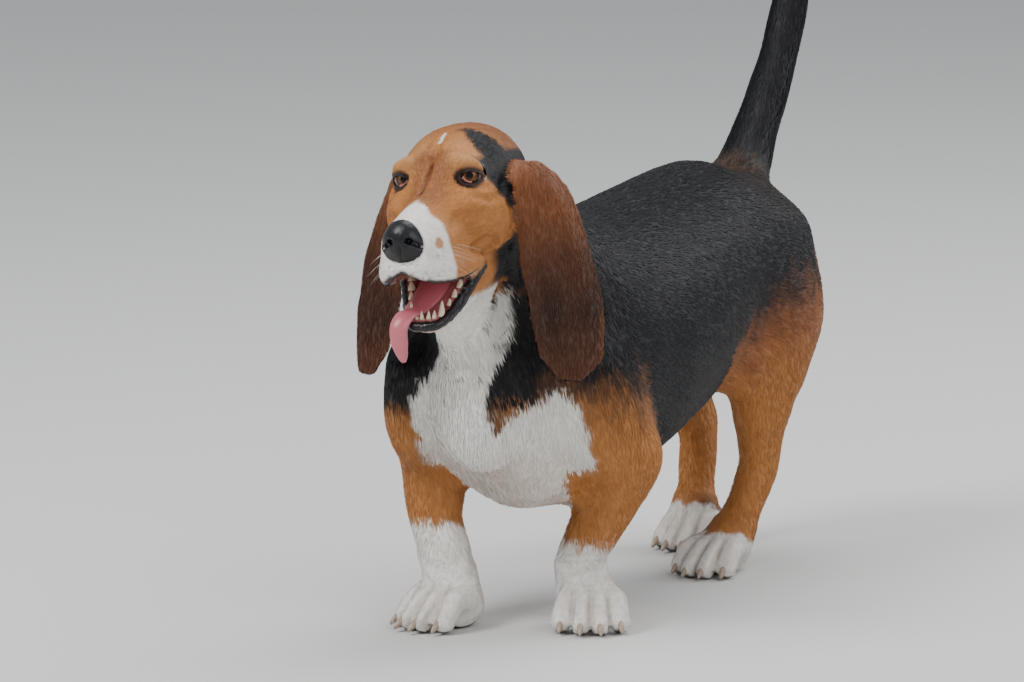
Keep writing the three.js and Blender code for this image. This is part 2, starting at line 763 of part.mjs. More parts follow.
// A closed limb through stations { at, side, up, w, h, bow }: rings of points on flattened ovals,
// bowed across their width, with a pole at each end. Grow sets it out by that much all over.
function limb(stations, { sides = 10, rings = 8, grow = 0, ends = 0.5 } = {}) {
  const path = new THREE.CatmullRomCurve3(stations.map((s) => new THREE.Vector3(...s.at)));
  const last = stations.length - 1;
  const verts = [];
  const tris = [];
  const rows = [];
  for (let r = 0; r <= rings; r++) {
    const t = r / rings;
    const k = Math.min(Math.floor(t * last), last - 1);
    const f = t * last - k;
    const s = f * f * (3 - 2 * f);
    const mix = (name) => lerp(stations[k][name] ?? 0, stations[k + 1][name] ?? 0, s);
    const way = (name) =>
      new THREE.Vector3(...stations[k][name]).lerp(new THREE.Vector3(...stations[k + 1][name]), s).normalize();
    const along = path.getTangent(t);
    const a = way("side");
    a.addScaledVector(along, -a.dot(along)).normalize();
    const b = new THREE.Vector3().crossVectors(along, a);
    rows.push({ at: path.getPoint(t), along, a, b, w: mix("w") + grow, h: mix("h") + grow, bow: mix("bow"), fold: mix("fold") });
  }
  const first = rows[0];
  const end = rows[rings];
  const pole = (row, away) => {
    const p = row.at.clone().addScaledVector(row.along, away * Math.min(row.w, row.h) * ends);
    return verts.push(...p.addScaledVector(row.b, 0)) / 3 - 1;
  };
  const start = pole(first, -1);
  for (const row of rows) {
    for (let i = 0; i < sides; i++) {
      const angle = (i / sides) * Math.PI * 2;
      const across = Math.cos(angle);
      const lift = row.h * Math.sin(angle) + row.bow * across * across + row.fold * Math.sin(across * 7) * (1 - across * across);
      verts.push(...row.at.clone().addScaledVector(row.a, row.w * across).addScaledVector(row.b, lift));
    }
  }
  const finish = pole(end, 1);
  const ring = (r, i) => 1 + r * sides + (i % sides);
  for (let i = 0; i < sides; i++) {
    tris.push(start, ring(0, i + 1), ring(0, i), finish, ring(rings, i), ring(rings, i + 1));
    for (let r = 0; r < rings; r++) {
      tris.push(ring(r, i), ring(r, i + 1), ring(r + 1, i), ring(r + 1, i), ring(r, i + 1), ring(r + 1, i + 1));
    }
  }
  const solid = new wasm.Manifold(
    new wasm.Mesh({ numProp: 3, vertProperties: new Float32Array(verts), triVerts: new Uint32Array(tris) }),
  );
  return solid;
}

// The same limb from the head's frame, on one side or the other.
function headLimb(stations, options, side = 1) {
  const moved = stations.map((s) => ({
    ...s,
    at: inWorld(s.at, side),
    side: new THREE.Vector3(...s.side).multiply(new THREE.Vector3(side, 1, 1)).transformDirection(headMatrix).toArray(),
  }));
  return limb(moved, options);
}
const inWorld = ([x, y, z], side = 1) => new THREE.Vector3(side * x, y, z).applyMatrix4(headMatrix).toArray();
const wayInWorld = (way) => new THREE.Vector3(...way).transformDirection(headMatrix).toArray();
const headPlane = (point, normal) => [inWorld(point), wayInWorld(normal)];

// Cuts between neighbours: a point on each, and its normal, out of the trunk.
const cuts = {
  neckRoot: [[0, -226, 330], [0, -0.8, 0.6]],
  headRoot: [[2, -280, 446], [0, -0.966, 0.26]],
  tailRoot: [[0, 262, 352], [0, 0.62, 0.78]],
  leftCarpus: [[45, -166, 58], [0.1, -0.2, -1]],
  rightCarpus: [[-66, -216, 58], [-0.1, -0.2, -1]],
  leftHock: [[56, 134, 44], [-0.1, -0.5, -1]],
  rightHock: [[-36, 231, 46], [0.1, -0.5, -1]],
};
// Each leg is parted by a cut above it, one beside the trunk and one along the belly.
const legCuts = {
  left_foreleg: [[[84, -160, 160], [0.25, 0.2, -1]], [[68, 0, 165], [0.887, 0, -0.462]], [[0, -85, 0], [0, -1, 0]]],
  right_foreleg: [[[-84, -210, 160], [-0.25, 0.2, -1]], [[-68, 0, 165], [-0.887, 0, -0.462]], [[0, -138, 0], [0, -1, 0]]],
  left_hind_leg: [[[70, 200, 318], [0.3, 0, -1]], [[44, 0, 250], [1, 0, -0.42]], [[0, 85, 170], [0, 0.918, -0.398]], [[2, 0, 0], [1, 0, 0]]],
  right_hind_leg: [[[-70, 200, 318], [-0.3, 0, -1]], [[-44, 0, 250], [-1, 0, -0.42]], [[0, 128, 170], [0, 0.918, -0.398]], [[-2, 0, 0], [-1, 0, 0]]],
};
const ankles = {
  left_foreleg: "leftCarpus",
  right_foreleg: "rightCarpus",
  left_hind_leg: "leftHock",
  right_hind_leg: "rightHock",
};
const floor = [[0, 0, -gap / 2], [0, 0, 1]];

function boxed(low, high, cell, keep, field = flesh) {
  return solidOf(thin(surfaceOf(field, low, high, cell), keep));
}

const colours = {
  black: { color: 0x17171a, roughness: 0.5 },
  tan: { color: 0xa8652c, roughness: 0.6 },
  brown: { color: 0x5a2f1a, roughness: 0.55 },
  white: { color: 0xe9e4dc, roughness: 0.65 },
  nose: { color: 0x141416, roughness: 0.35 },
  tongue: { color: 0xd9828c, roughness: 0.4 },
  eye: { color: 0x3a2110, roughness: 0.1 },
};
const materials = Object.fromEntries(
  Object.entries(colours).map(([name, look]) => [name, new THREE.MeshStandardMaterial({ ...look, metalness: 0 })]),
);

const nodes = new Map();
const put = (name, material, solid) => nodes.set(name, { material, solid });

// Trunk, neck, legs and tail
const trunk = boxed([-150, -330, 26], [150, 320, 420], 6.5, 3400);
let torsoSolid = trunk.intersect(region([flip(cuts.neckRoot)])).intersect(region([flip(cuts.tailRoot)]));
for (const [name, planes] of Object.entries(legCuts)) {
  const ankle = cuts[ankles[name]];
  put(name, "tan", keepBeyond(trunk, [...planes, flip(ankle)]));
  torsoSolid = torsoSolid.subtract(region(planes, -gap / 2));
}
put("torso", "black", largest(torsoSolid));
const neckPiece = boxed([-110, -400, 215], [110, -150, 480], 5, 900);
put("neck", "white", keepBeyond(neckPiece, [cuts.neckRoot, flip(cuts.headRoot)]));
put("tail", "black", keepBeyond(boxed([-40, 225, 310], [40, 400, 670], 5, 320), [cuts.tailRoot]));

// Paws, with the claws rooted in the toes
const wrists = { left_fore_paw: "leftCarpus", right_fore_paw: "rightCarpus", left_hind_paw: "leftHock", right_hind_paw: "rightHock" };
for (const [name, { at, thick, toes, place, heading }] of Object.entries(paws)) {
  const reach = 62;
  let solid = boxed([at[0] - reach, at[1] - reach, -12], [at[0] + reach, at[1] + reach, 92], 3.5, 560);
  solid = keepBeyond(solid, [cuts[wrists[name]], floor]);
  for (const { across, tip } of toes) {
    const claw = limb(
      [
        { at: place(across, tip + thick * 0.2, thick * 0.95), side: place(1, 0, 0).map((v, k) => v - place(0, 0, 0)[k]), w: 3.4, h: 3.6 },
        { at: place(across * 1.02, tip + thick * 1.05, thick * 0.7), side: place(1, 0, 0).map((v, k) => v - place(0, 0, 0)[k]), w: 2.6, h: 2.8 },
        { at: place(across * 1.03, tip + thick * 1.5, thick * 0.3), side: place(1, 0, 0).map((v, k) => v - place(0, 0, 0)[k]), w: 1, h: 1.1 },
      ],
      { sides: 6, rings: 3 },
    );
    solid = solid.add(claw);
  }
  put(name, "white", largest(solid));
}

// Head: the lower jaw and the nose are parted from it by flat cuts.
const headPiece = keepBeyond(boxed([-100, -500, 260], [100, -230, 510], 3, 3600), [cuts.headRoot]);
const jawTop = headPlane([0, -7, -74], [0, 0.277, -0.961]);
const jawBack = headPlane([0, 42, -70], [0, -1, -0.1]);
const noseBack = headPlane([0, -muzzleLength + 9, -40], [0, -1, 0.12]);
const noseFoot = headPlane([0, -muzzleLength, -59], [0, 0.3, 1]);
put("lower_jaw", "white", keepBeyond(headPiece, [jawTop, jawBack]));
const [nx, ny, nz] = inWorld([0, -muzzleLength + 10, -40]);
const nosePiece = boxed([nx - 28, ny - 24, nz - 26], [nx + 28, ny + 30, nz + 26], 1.6, 620, noseField);
put("nose", "nose", keepBeyond(nosePiece, [noseBack, noseFoot]));
let headSolid = dropBeyond(dropBeyond(headPiece, [jawTop, jawBack]), [noseBack, noseFoot]);

// Lower teeth, rooted in the jaw inside the lip: [x, y, z, radius, height].
const teeth = [
  [3, -60, -112, 1.6, 8],
  [8, -59, -112, 1.7, 8],
  [13.5, -55, -110, 3, 15],
  [17.5, -45, -104, 2.2, 8],
  [20, -37, -98, 2.8, 9],
  [22.5, -28, -91, 3.2, 10],
  [25, -19, -84, 3.4, 10],
];
const down = wayInWorld([0, 0.35, 1]);
let jaw = nodes.get("lower_jaw").solid;
for (const side of [1, -1]) {
  for (const [x, y, z, radius, height] of teeth) {
    const cone = new THREE.CylinderGeometry(radius * 0.3, radius * 1.15, height * 1.5, 5, 1);
    const turn = new THREE.Quaternion().setFromUnitVectors(new THREE.Vector3(0, 1, 0), new THREE.Vector3(...down));
    const at = new THREE.Vector3(...inWorld([x, y, z], side));
    jaw = jaw.add(solidFrom(cone, new THREE.Matrix4().compose(at, turn, new THREE.Vector3(1, 1, 1))));
  }
}

// Tongue: it lies in the jaw and hangs out over the right side of the lip.
const across = wayInWorld([1, 0.15, 0]);
const tonguePath = [
  [-1, -12, -79, 15, 3.2],
  [-4, -32, -93, 14, 3.4],
  [-12, -52, -106, 11.5, 3.4],
  [-17, -64, -109, 10, 3.2],
  [-20.5, -73, -118, 9, 3],
  [-21, -74, -132, 8.5, 2.8],
  [-20.5, -72, -146, 6, 2.2],
];
const tongueStations = tonguePath.map(([x, y, z, w, h]) => ({ at: inWorld([x, y, z]), side: across, w, h, bow: -1.5 }));
put("tongue", "tongue", limb(tongueStations, { sides: 10, rings: 12 }));
jaw = jaw.subtract(limb(tongueStations, { sides: 10, rings: 12, grow: 3 * gap, ends: 1 }));
put("lower_jaw", "white", largest(jaw));

// Eyes, each with its lids on the rim of its socket
const lidReach = eyeRadius + 0.9;
function lid(side, rise, droop) {
  const stations = [-1, -0.5, 0, 0.5, 1].map((row) => {
    const turn = rad(row * 62 + eyeAhead);
    const lift = rad(rise * (1 - row * row) - droop * row);
    const at = [
      eyeAt[0] + Math.sin(turn) * Math.cos(lift) * lidReach,
      eyeAt[1] - Math.cos(turn) * Math.cos(lift) * lidReach,
      eyeAt[2] + Math.sin(lift) * lidReach,
    ];
    const thick = 2.6 - 0.8 * row * row;
    return { at: inWorld(at, side), side: wayInWorld([side * Math.sin(turn), -Math.cos(turn), 0]), w: thick, h: thick };
  });
  return limb(stations, { sides: 8, rings: 8 });
}
for (const [name, side] of [["left_eye", 1], ["right_eye", -1]]) {
  const ball = new THREE.SphereGeometry(eyeRadius, 12, 8);
  const matrix = new THREE.Matrix4().makeTranslation(...inWorld(eyeAt, side));
  put(name, "eye", solidFrom(ball, matrix));
  const seat = new THREE.SphereGeometry(eyeRadius + 2 * gap, 12, 8);
  headSolid = headSolid.add(lid(side, 30, 4)).add(lid(side, -34, 4));
  headSolid = headSolid.subtract(solidFrom(seat, matrix));
}

// Ears: long soft leaves, rolled at the root and hanging in folds.
const ears = {
  left_ear: [
    { at: [56, -322, 430], side: [0.3, 0.95, 0], w: 16, h: 5, bow: -4 },
    { at: [70, -316, 423], side: [0.4, 0.9, 0], w: 25, h: 5.5, bow: -6 },
    { at: [83, -309, 398], side: [0.45, 0.89, 0], w: 34, h: earThickness * 0.75, bow: -8, fold: 2 },
    { at: [94, -303, 352], side: [0.45, 0.89, 0], w: 39, h: earThickness * 0.65, bow: -8, fold: 3 },
    { at: [103, -301, 302], side: [0.45, 0.89, 0], w: earWidth / 2, h: earThickness * 0.6, bow: -7, fold: 3 },
    { at: [106, -303, 262], side: [0.45, 0.89, 0], w: 36, h: earThickness * 0.55, bow: -5, fold: 2 },
    { at: [105, -306, 434 - earLength + 4], side: [0.45, 0.89, 0], w: 14, h: 2 },
  ],
  right_ear: [
    { at: [-42, -320, 422], side: [-0.55, 0.83, 0], w: 14, h: 5, bow: 3 },
    { at: [-55, -316, 413], side: [-0.6, 0.8, 0], w: 22, h: 5.5, bow: 4 },
    { at: [-66, -316, 386], side: [-0.7, 0.71, 0], w: 31, h: earThickness * 0.75, bow: 7, fold: 2 },
    { at: [-74, -323, 340], side: [-0.8, 0.6, 0], w: 39, h: earThickness * 0.65, bow: 8, fold: 3 },
    { at: [-76, -332, 294], side: [-0.85, 0.52, 0], w: 38, h: earThickness * 0.6, bow: 7, fold: 3 },
    { at: [-76, -338, 262], side: [-0.85, 0.52, 0], w: 28, h: earThickness * 0.55, bow: 5, fold: 2 },
    { at: [-76, -341, 240], side: [-0.85, 0.52, 0], w: 12, h: 2 },
  ],
};
for (const [name, stations] of Object.entries(ears)) {
  const shape = { sides: 16, rings: 12 };
  const ear = limb(stations, shape);
  put(name, "brown", ear);
  const seat = limb(stations, { ...shape, grow: 2.3, ends: 1 });
  headSolid = headSolid.subtract(seat.add(ear));
  for (const other of ["neck", "torso", "lower_jaw", "left_foreleg", "right_foreleg"]) {
    nodes.get(other).solid = largest(nodes.get(other).solid.subtract(seat));
  }
}
put("head", "tan", largest(headSolid));

// The box of the whole dog is centred over the origin, and slivers from the cuts are merged.
const finest = 0.02;
const boxes = [...nodes.values()].map(({ solid }) => solid.boundingBox());
const middle = [0, 1].map((k) => {
  const lows = boxes.map(({ min }) => min[k]);
  const highs = boxes.map(({ max }) => max[k]);
  return (Math.min(...lows) + Math.max(...highs)) / 2;
});

const dog = new THREE.Group();
for (const [name, { material, solid }] of nodes) {
  const centred = solid.translate([-middle[0], -middle[1], 0]).simplify(finest);
  const { vertProperties, triVerts } = largest(centred).getMesh();
  const geometry = new THREE.BufferGeometry();
  geometry.setAttribute("position", new THREE.BufferAttribute(vertProperties, 3));
  geometry.setIndex(new THREE.BufferAttribute(triVerts, 1));
  geometry.computeVertexNormals();
  const mesh = new THREE.Mesh(geometry, materials[material]);
  mesh.name = name;
  dog.add(mesh);
}

export default dog;
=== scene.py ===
import bpy
import math
import numpy as np
from mathutils import Matrix, Vector
from mathutils.bvhtree import BVHTree


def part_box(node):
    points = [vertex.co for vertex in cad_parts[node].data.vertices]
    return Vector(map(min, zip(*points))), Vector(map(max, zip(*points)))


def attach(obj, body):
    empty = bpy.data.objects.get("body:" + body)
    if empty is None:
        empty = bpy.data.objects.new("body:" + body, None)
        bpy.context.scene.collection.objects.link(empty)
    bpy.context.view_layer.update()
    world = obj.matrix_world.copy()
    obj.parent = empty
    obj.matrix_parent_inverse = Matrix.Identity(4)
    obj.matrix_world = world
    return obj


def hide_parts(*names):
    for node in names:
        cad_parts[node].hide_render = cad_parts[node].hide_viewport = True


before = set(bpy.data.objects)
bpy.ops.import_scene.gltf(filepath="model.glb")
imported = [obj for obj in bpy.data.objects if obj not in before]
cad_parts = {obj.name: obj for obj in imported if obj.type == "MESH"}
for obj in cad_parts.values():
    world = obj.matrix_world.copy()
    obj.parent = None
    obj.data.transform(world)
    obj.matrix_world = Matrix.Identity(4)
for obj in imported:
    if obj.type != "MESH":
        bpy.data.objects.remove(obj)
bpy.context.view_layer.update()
rng = np.random.default_rng(7)
mm = 0.001

# The head's own frame, in the dog's frame: x to its left, y back and z up from between the eyes, in mm
headAt = Vector((8, -372, 423))
headTurn = Matrix.Rotation(math.radians(6), 3, "Z") @ Matrix.Rotation(math.radians(2), 3, "X")
headTurn = headTurn @ Matrix.Rotation(math.radians(-6), 3, "Y")
eye = dict(at=(30, 7, -1), radius=11.5, outward=22)  # the left one; outward is where its opening looks
fleshNodes = [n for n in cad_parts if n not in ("nose", "tongue", "left_eye", "right_eye")]
ears = ("left_ear", "right_ear")
forelegs = ("left_foreleg", "right_foreleg")
hindLegs = ("left_hind_leg", "right_hind_leg")
feet = ("left_fore_paw", "right_fore_paw", "left_hind_paw", "right_hind_paw")


def headToDog(p):
    return headTurn @ Vector(p) + headAt


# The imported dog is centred, so the left eye's place gives the shift from the dog's frame in mm.
low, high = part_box("left_eye")
shift = Vector((low + high) / 2) - headToDog(eye["at"]) * mm
shift.z = 0


def toWorld(p):  # dog's mm to metres
    return Vector(p) * mm + shift


def headToWorld(p, side=1):  # side -1 mirrors the place to the dog's right
    return toWorld(headToDog((p[0] * side, p[1], p[2])))


def headWay(v):  # a direction in the head's frame, in the dog's
    return headTurn @ Vector(v)


def dogOf(points):  # metres to the dog's mm, for an array
    return (points - np.array(shift)) / mm


def headOf(points):  # metres to the head's mm
    return (dogOf(points) - np.array(headAt)) @ np.array(headTurn)


def mirrored(q):  # both sides of the head laid on its left side
    return np.stack([np.abs(q[:, 0]), q[:, 1], q[:, 2]], 1)


def farFrom(q, place):  # distance in mm to a place on either side of the head
    return np.linalg.norm(mirrored(q) - np.array(place), axis=1)


def arrayOf(mesh, kind, name):  # three numbers for each item of a kind
    data = np.zeros(len(getattr(mesh, kind)) * 3, np.float32)
    getattr(mesh, kind).foreach_get(name, data)
    return data.reshape(-1, 3).astype(float)


def ramp(low, high, x):  # 0 at low to 1 at high, without a corner
    t = np.clip((x - low) / (high - low), 0, 1)
    return t * t * (3 - 2 * t)


def mixTo(base, colour, amount):
    return base + (np.array(colour) - base) * np.clip(amount, 0, 1)[:, None]


def noiseAt(p, scale, seed=0):  # smooth value noise of points in mm, -1 to 1
    q = p / scale + seed * 17.3
    cell = np.floor(q).astype(np.int64)
    f = q - cell
    f = f * f * (3 - 2 * f)
    total = np.zeros(len(p))
    for corner in range(8):
        step = np.array([corner & 1, corner >> 1 & 1, corner >> 2])
        c = cell + step
        h = (c[:, 0] * 73856093) ^ (c[:, 1] * 19349663) ^ (c[:, 2] * 83492791)
        h = (h ^ (h >> 13)) * 1274126177
        value = ((h ^ (h >> 16)) & 0xFFFF) / 32767.5 - 1
        weight = np.prod(np.where(step, f, 1 - f), axis=1)
        total += value * weight
    return total


def insideOf(polygon, u, v):  # signed distance to a polygon, positive inside
    poly = np.array(polygon, float)
    best = np.full(len(u), 1e9)
    inside = np.zeros(len(u), bool)
    for a, b in zip(poly, np.roll(poly, -1, axis=0)):
        d = b - a
        t = np.clip(((u - a[0]) * d[0] + (v - a[1]) * d[1]) / (d @ d), 0, 1)
        best = np.minimum(best, np.hypot(u - a[0] - t * d[0], v - a[1] - t * d[1]))
        cross = (a[1] > v) != (b[1] > v)
        inside ^= cross & (u < (b[0] - a[0]) * (v - a[1]) / (b[1] - a[1] + 1e-9) + a[0])
    return np.where(inside, best, -best)


def alongPath(points, path):  # distance to a polyline, in its own units
    best = np.full(len(points), 1e9)
    path = np.array(path, float)
    for a, b in zip(path[:-1], path[1:]):
        d = b - a
        t = np.clip(((points - a) @ d) / (d @ d), 0, 1)
        best = np.minimum(best, np.linalg.norm(points - a - t[:, None] * d, axis=1))
    return best


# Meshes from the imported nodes
def copyOf(names, title):
    bpy.ops.object.select_all(action="DESELECT")
    copies = []
    for name in names:
        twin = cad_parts[name].copy()
        twin.data = twin.data.copy()
        twin.data.materials.clear()
        bpy.context.collection.objects.link(twin)
        twin.parent = None
        twin.matrix_world = Matrix.Identity(4)
        twin.hide_render = twin.hide_viewport = False
        copies.append(twin)
    for twin in copies:
        twin.select_set(True)
    bpy.context.view_layer.objects.active = copies[0]
    if len(copies) > 1:
        bpy.ops.object.join()
    made = bpy.context.view_layer.objects.active
    made.name = made.data.name = title
    return made


def apply(obj, kind, **facts):
    bpy.ops.object.select_all(action="DESELECT")
    bpy.context.view_layer.objects.active = obj
    obj.select_set(True)
    mod = obj.modifiers.new(kind, kind)
    for key, value in facts.items():
        setattr(mod, key, value)
    bpy.ops.object.modifier_apply(modifier=mod.name)


def setCoords(obj, points):
    obj.data.vertices.foreach_set("co", points.astype(np.float32).ravel())
    obj.data.update()


def normalsOf(obj):
    return arrayOf(obj.data, "vertex_normals", "vector")


def smoothed(obj, values, rounds, weight):  # spreads values over the mesh's edges
    edges = np.zeros(len(obj.data.edges) * 2, np.int32)
    obj.data.edges.foreach_get("vertices", edges)
    a, b = edges.reshape(-1, 2).T
    count = np.bincount(a, minlength=len(values)) + np.bincount(b, minlength=len(values))
    for _ in range(rounds):
        total = np.zeros_like(values)
        for k in range(values.shape[1]):
            total[:, k] = np.bincount(a, values[b, k], len(values))
            total[:, k] += np.bincount(b, values[a, k], len(values))
        values = values + (total / np.maximum(count, 1)[:, None] - values) * weight
    return values


# Which node each point of the skin belongs to
def nodeTree():
    verts, faces, owner = [], [], []
    for i, name in enumerate(fleshNodes):
        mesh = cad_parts[name].data
        start = len(verts)
        verts += [v.co.copy() for v in mesh.vertices]
        faces += [[start + v for v in p.vertices] for p in mesh.polygons]
        owner += [i] * len(mesh.polygons)
    return BVHTree.FromPolygons(verts, faces), np.array(owner)


fleshTree, faceOwner = nodeTree()
numberOf = {name: i for i, name in enumerate(fleshNodes)}


def labelsAt(points):
    hits = [fleshTree.find_nearest(Vector(p))[2] for p in points]
    return faceOwner[np.array(hits)]


def isNode(labels, *names):
    return np.isin(labels, [numberOf[n] for n in names])


# A closed limb through stations (place, side, half width, half height), in metres
def sweep(stations, sides=10, bow=0.0):
    rows = []
    for i, (place, side, w, t) in enumerate(stations):
        after, before = stations[min(i + 1, len(stations) - 1)], stations[max(i - 1, 0)]
        ahead = (Vector(after[0]) - Vector(before[0])).normalized()
        s = Vector(side)
        s = (s - ahead * s.dot(ahead)).normalized()
        n = ahead.cross(s)
        for k in range(sides):
            turn = k / sides * math.tau
            height = t * math.sin(turn) + bow * math.cos(turn) ** 2 * w
            rows.append(Vector(place) + s * (w * math.cos(turn)) + n * height)
    verts = [Vector(stations[0][0])] + rows + [Vector(stations[-1][0])]
    last = len(stations) - 1
    grid = [[1 + row * sides + k % sides for k in range(sides + 1)] for row in range(last + 1)]
    faces = [(0, grid[0][k + 1], grid[0][k]) for k in range(sides)]
    for near, far in zip(grid[:-1], grid[1:]):
        faces += [(near[k], near[k + 1], far[k + 1], far[k]) for k in range(sides)]
    faces += [(len(verts) - 1, grid[last][k], grid[last][k + 1]) for k in range(sides)]
    return verts, faces


def meshOf(title, shapes, material):
    verts, faces = [], []
    for v, f in shapes:
        faces += [[len(verts) + i for i in face] for face in f]
        verts += v
    mesh = bpy.data.meshes.new(title)
    mesh.from_pydata([tuple(v) for v in verts], [], faces)
    mesh.polygons.foreach_set("use_smooth", [True] * len(mesh.polygons))
    if material:
        mesh.materials.append(material)
    mesh.update()
    obj = bpy.data.objects.new(title, mesh)
    bpy.context.collection.objects.link(obj)
    return obj


def smoothPath(stations, steps=5):  # Catmull-Rom through (place, side, w, t)
    out = []
    n = len(stations)
    for i in range(n - 1):
        p = [Vector(stations[min(max(i + k, 0), n - 1)][0]) for k in (-1, 0, 1, 2)]
        square = 2 * p[0] - 5 * p[1] + 4 * p[2] - p[3]
        cube = 3 * p[1] - p[0] - 3 * p[2] + p[3]
        for s in range(steps):
            u = s / steps
            place = 0.5 * ((2 * p[1]) + (p[2] - p[0]) * u + square * u ** 2 + cube * u ** 3)
            a, b = stations[i], stations[i + 1]
            mix = [a[k] + (b[k] - a[k]) * u for k in (2, 3)]
            side = Vector(a[1]).lerp(Vector(b[1]), u)
            out.append((place, side, *mix))
    return out + [tuple(stations[-1])]


# Each lid's edge rises from the corners by its rise and leans by its droop, in degrees round the eye.
lidEdges = dict(upper=(27, 4), lower=(-31, 3))
foldFacts = dict(half=66, past=24, reach=13.3, wide=5.6, thick=2.1)


def eyeWay(turn, lift):  # from the eye's middle, in the head's frame
    return Vector((math.sin(turn) * math.cos(lift), -math.cos(turn) * math.cos(lift), math.sin(lift)))


def lidFold(side, edge, up):  # the lid's own skin, bent over the ball from the rim into the head
    rise, droop = lidEdges[edge]
    stations = []
    for k in range(25):
        row = k / 12 - 1
        turn = math.radians(row * foldFacts["half"] + eye["outward"])
        lift = math.radians(rise * (1 - row * row) - droop * row + up * foldFacts["past"])
        over = Vector((-math.sin(turn) * math.sin(lift), math.cos(turn) * math.sin(lift), math.cos(lift)))
        over.x *= side
        p = Vector(eye["at"]) + eyeWay(turn, lift) * foldFacts["reach"]
        wide = (foldFacts["wide"] - 1.8 * row ** 4) * mm
        stations.append((headToWorld(p, side), headWay(over), wide, foldFacts["thick"] * mm))
    return sweep(stations, 16)


# The skin: all the flesh joined, rounded and set in by the coat's depth
skinFacts = dict(swell=0.3, voxel=2.0 * mm, bodyRounds=26, headRounds=4, keep=0.33, standing=0.2 * mm)
skin = copyOf(fleshNodes, "skin")
swollen = arrayOf(skin.data, "vertices", "co") + normalsOf(skin) * skinFacts["swell"] * mm
setCoords(skin, swollen)  # closes the cuts between the nodes
lidShapes = [lidFold(side, edge, up) for edge, up in (("upper", 1), ("lower", -1)) for side in (1, -1)]
lidMesh = meshOf("lid_folds", lidShapes, None)
bpy.ops.object.select_all(action="DESELECT")
lidMesh.select_set(True)
skin.select_set(True)
bpy.context.view_layer.objects.active = skin
bpy.ops.object.join()
apply(skin, "REMESH", mode="VOXEL", voxel_size=skinFacts["voxel"], adaptivity=0)
print("skin remeshed", len(skin.data.polygons), flush=True)
points = arrayOf(skin.data, "vertices", "co")
labels = labelsAt(points)
fine = isNode(labels, "head", "lower_jaw", *ears).astype(float)
pawish = isNode(labels, *feet).astype(float)
softness = smoothed(skin, np.maximum(fine, pawish * 0.9)[:, None], 6, 0.5)[:, 0]
rounder = (1 - softness) * 0.5
for turn in range(skinFacts["bodyRounds"]):
    weight = rounder + (softness * 0.4 if turn < skinFacts["headRounds"] else 0)
    points = smoothed(skin, points, 1, weight[:, None])
setCoords(skin, points)
group = skin.vertex_groups.new(name="coarse")
coarse = np.nonzero(softness < 0.3)[0]
group.add([int(i) for i in coarse], 1, "REPLACE")
apply(skin, "DECIMATE", ratio=skinFacts["keep"], vertex_group="coarse")
print("skin thinned", len(skin.data.polygons), flush=True)

points = arrayOf(skin.data, "vertices", "co")
labels = labelsAt(points)
normals = normalsOf(skin)
coatDepths = ((("head",), 0.8), (("lower_jaw",), 0.5), (ears, 0.5), (forelegs, 1.2), (feet, 0.7))  # in mm
depthOf = np.full(len(points), 1.6)
for names, depth in coatDepths:
    depthOf[isNode(labels, *names)] = depth
depthOf = smoothed(skin, depthOf[:, None], 8, 0.5)[:, 0]
points = points - normals * (depthOf * mm)[:, None]

# Each paw's place, heading in degrees, width and length
pawFacts = [
    ((64, -184), 26, 68, 68 * 1.12), ((-52, -236), -22, 68, 68 * 1.12),
    ((47, 112), -4, 62, 62 * 1.2), ((-27, 222), -4, 62, 62 * 1.2),
]
toeSpread = 3.9  # a paw's width over the step from toe to toe


def toeGrooves(p):  # 1 in the lines between the toes, from the toes back over the paw
    groove = np.zeros(len(p))
    for (px, py), heading, pawWide, pawLong in pawFacts:
        turn = math.radians(heading)
        dx, dy = p[:, 0] - px, p[:, 1] - py
        across = dx * math.cos(turn) + dy * math.sin(turn)
        ahead = dx * math.sin(turn) - dy * math.cos(turn)
        strength = ramp(0.06, 0.40, ahead / pawLong) * (np.abs(across) < 0.6 * pawWide)
        strength = strength * ramp(44, 34, p[:, 2])
        for row in (-1, 0, 1):
            line = row * pawWide / toeSpread * (0.72 + 0.3 * np.clip(ahead / pawLong / 0.5, 0, 1.2))
            groove = np.maximum(groove, strength * np.exp(-((across - line) / 2.3) ** 2))
    return groove


# The edges of the lips, in the head's mm, for its left side
lipPath = [(0, -66, -120), (12, -63, -119), (20, -50, -112), (27, -30, -98), (33, -15, -85), (36, -6, -78)]
upperLipPath = [
    (0, -94, -66), (11, -93, -71), (20, -86, -78), (27, -68, -83),
    (31, -44, -84), (34, -24, -81), (36, -8, -78),
]

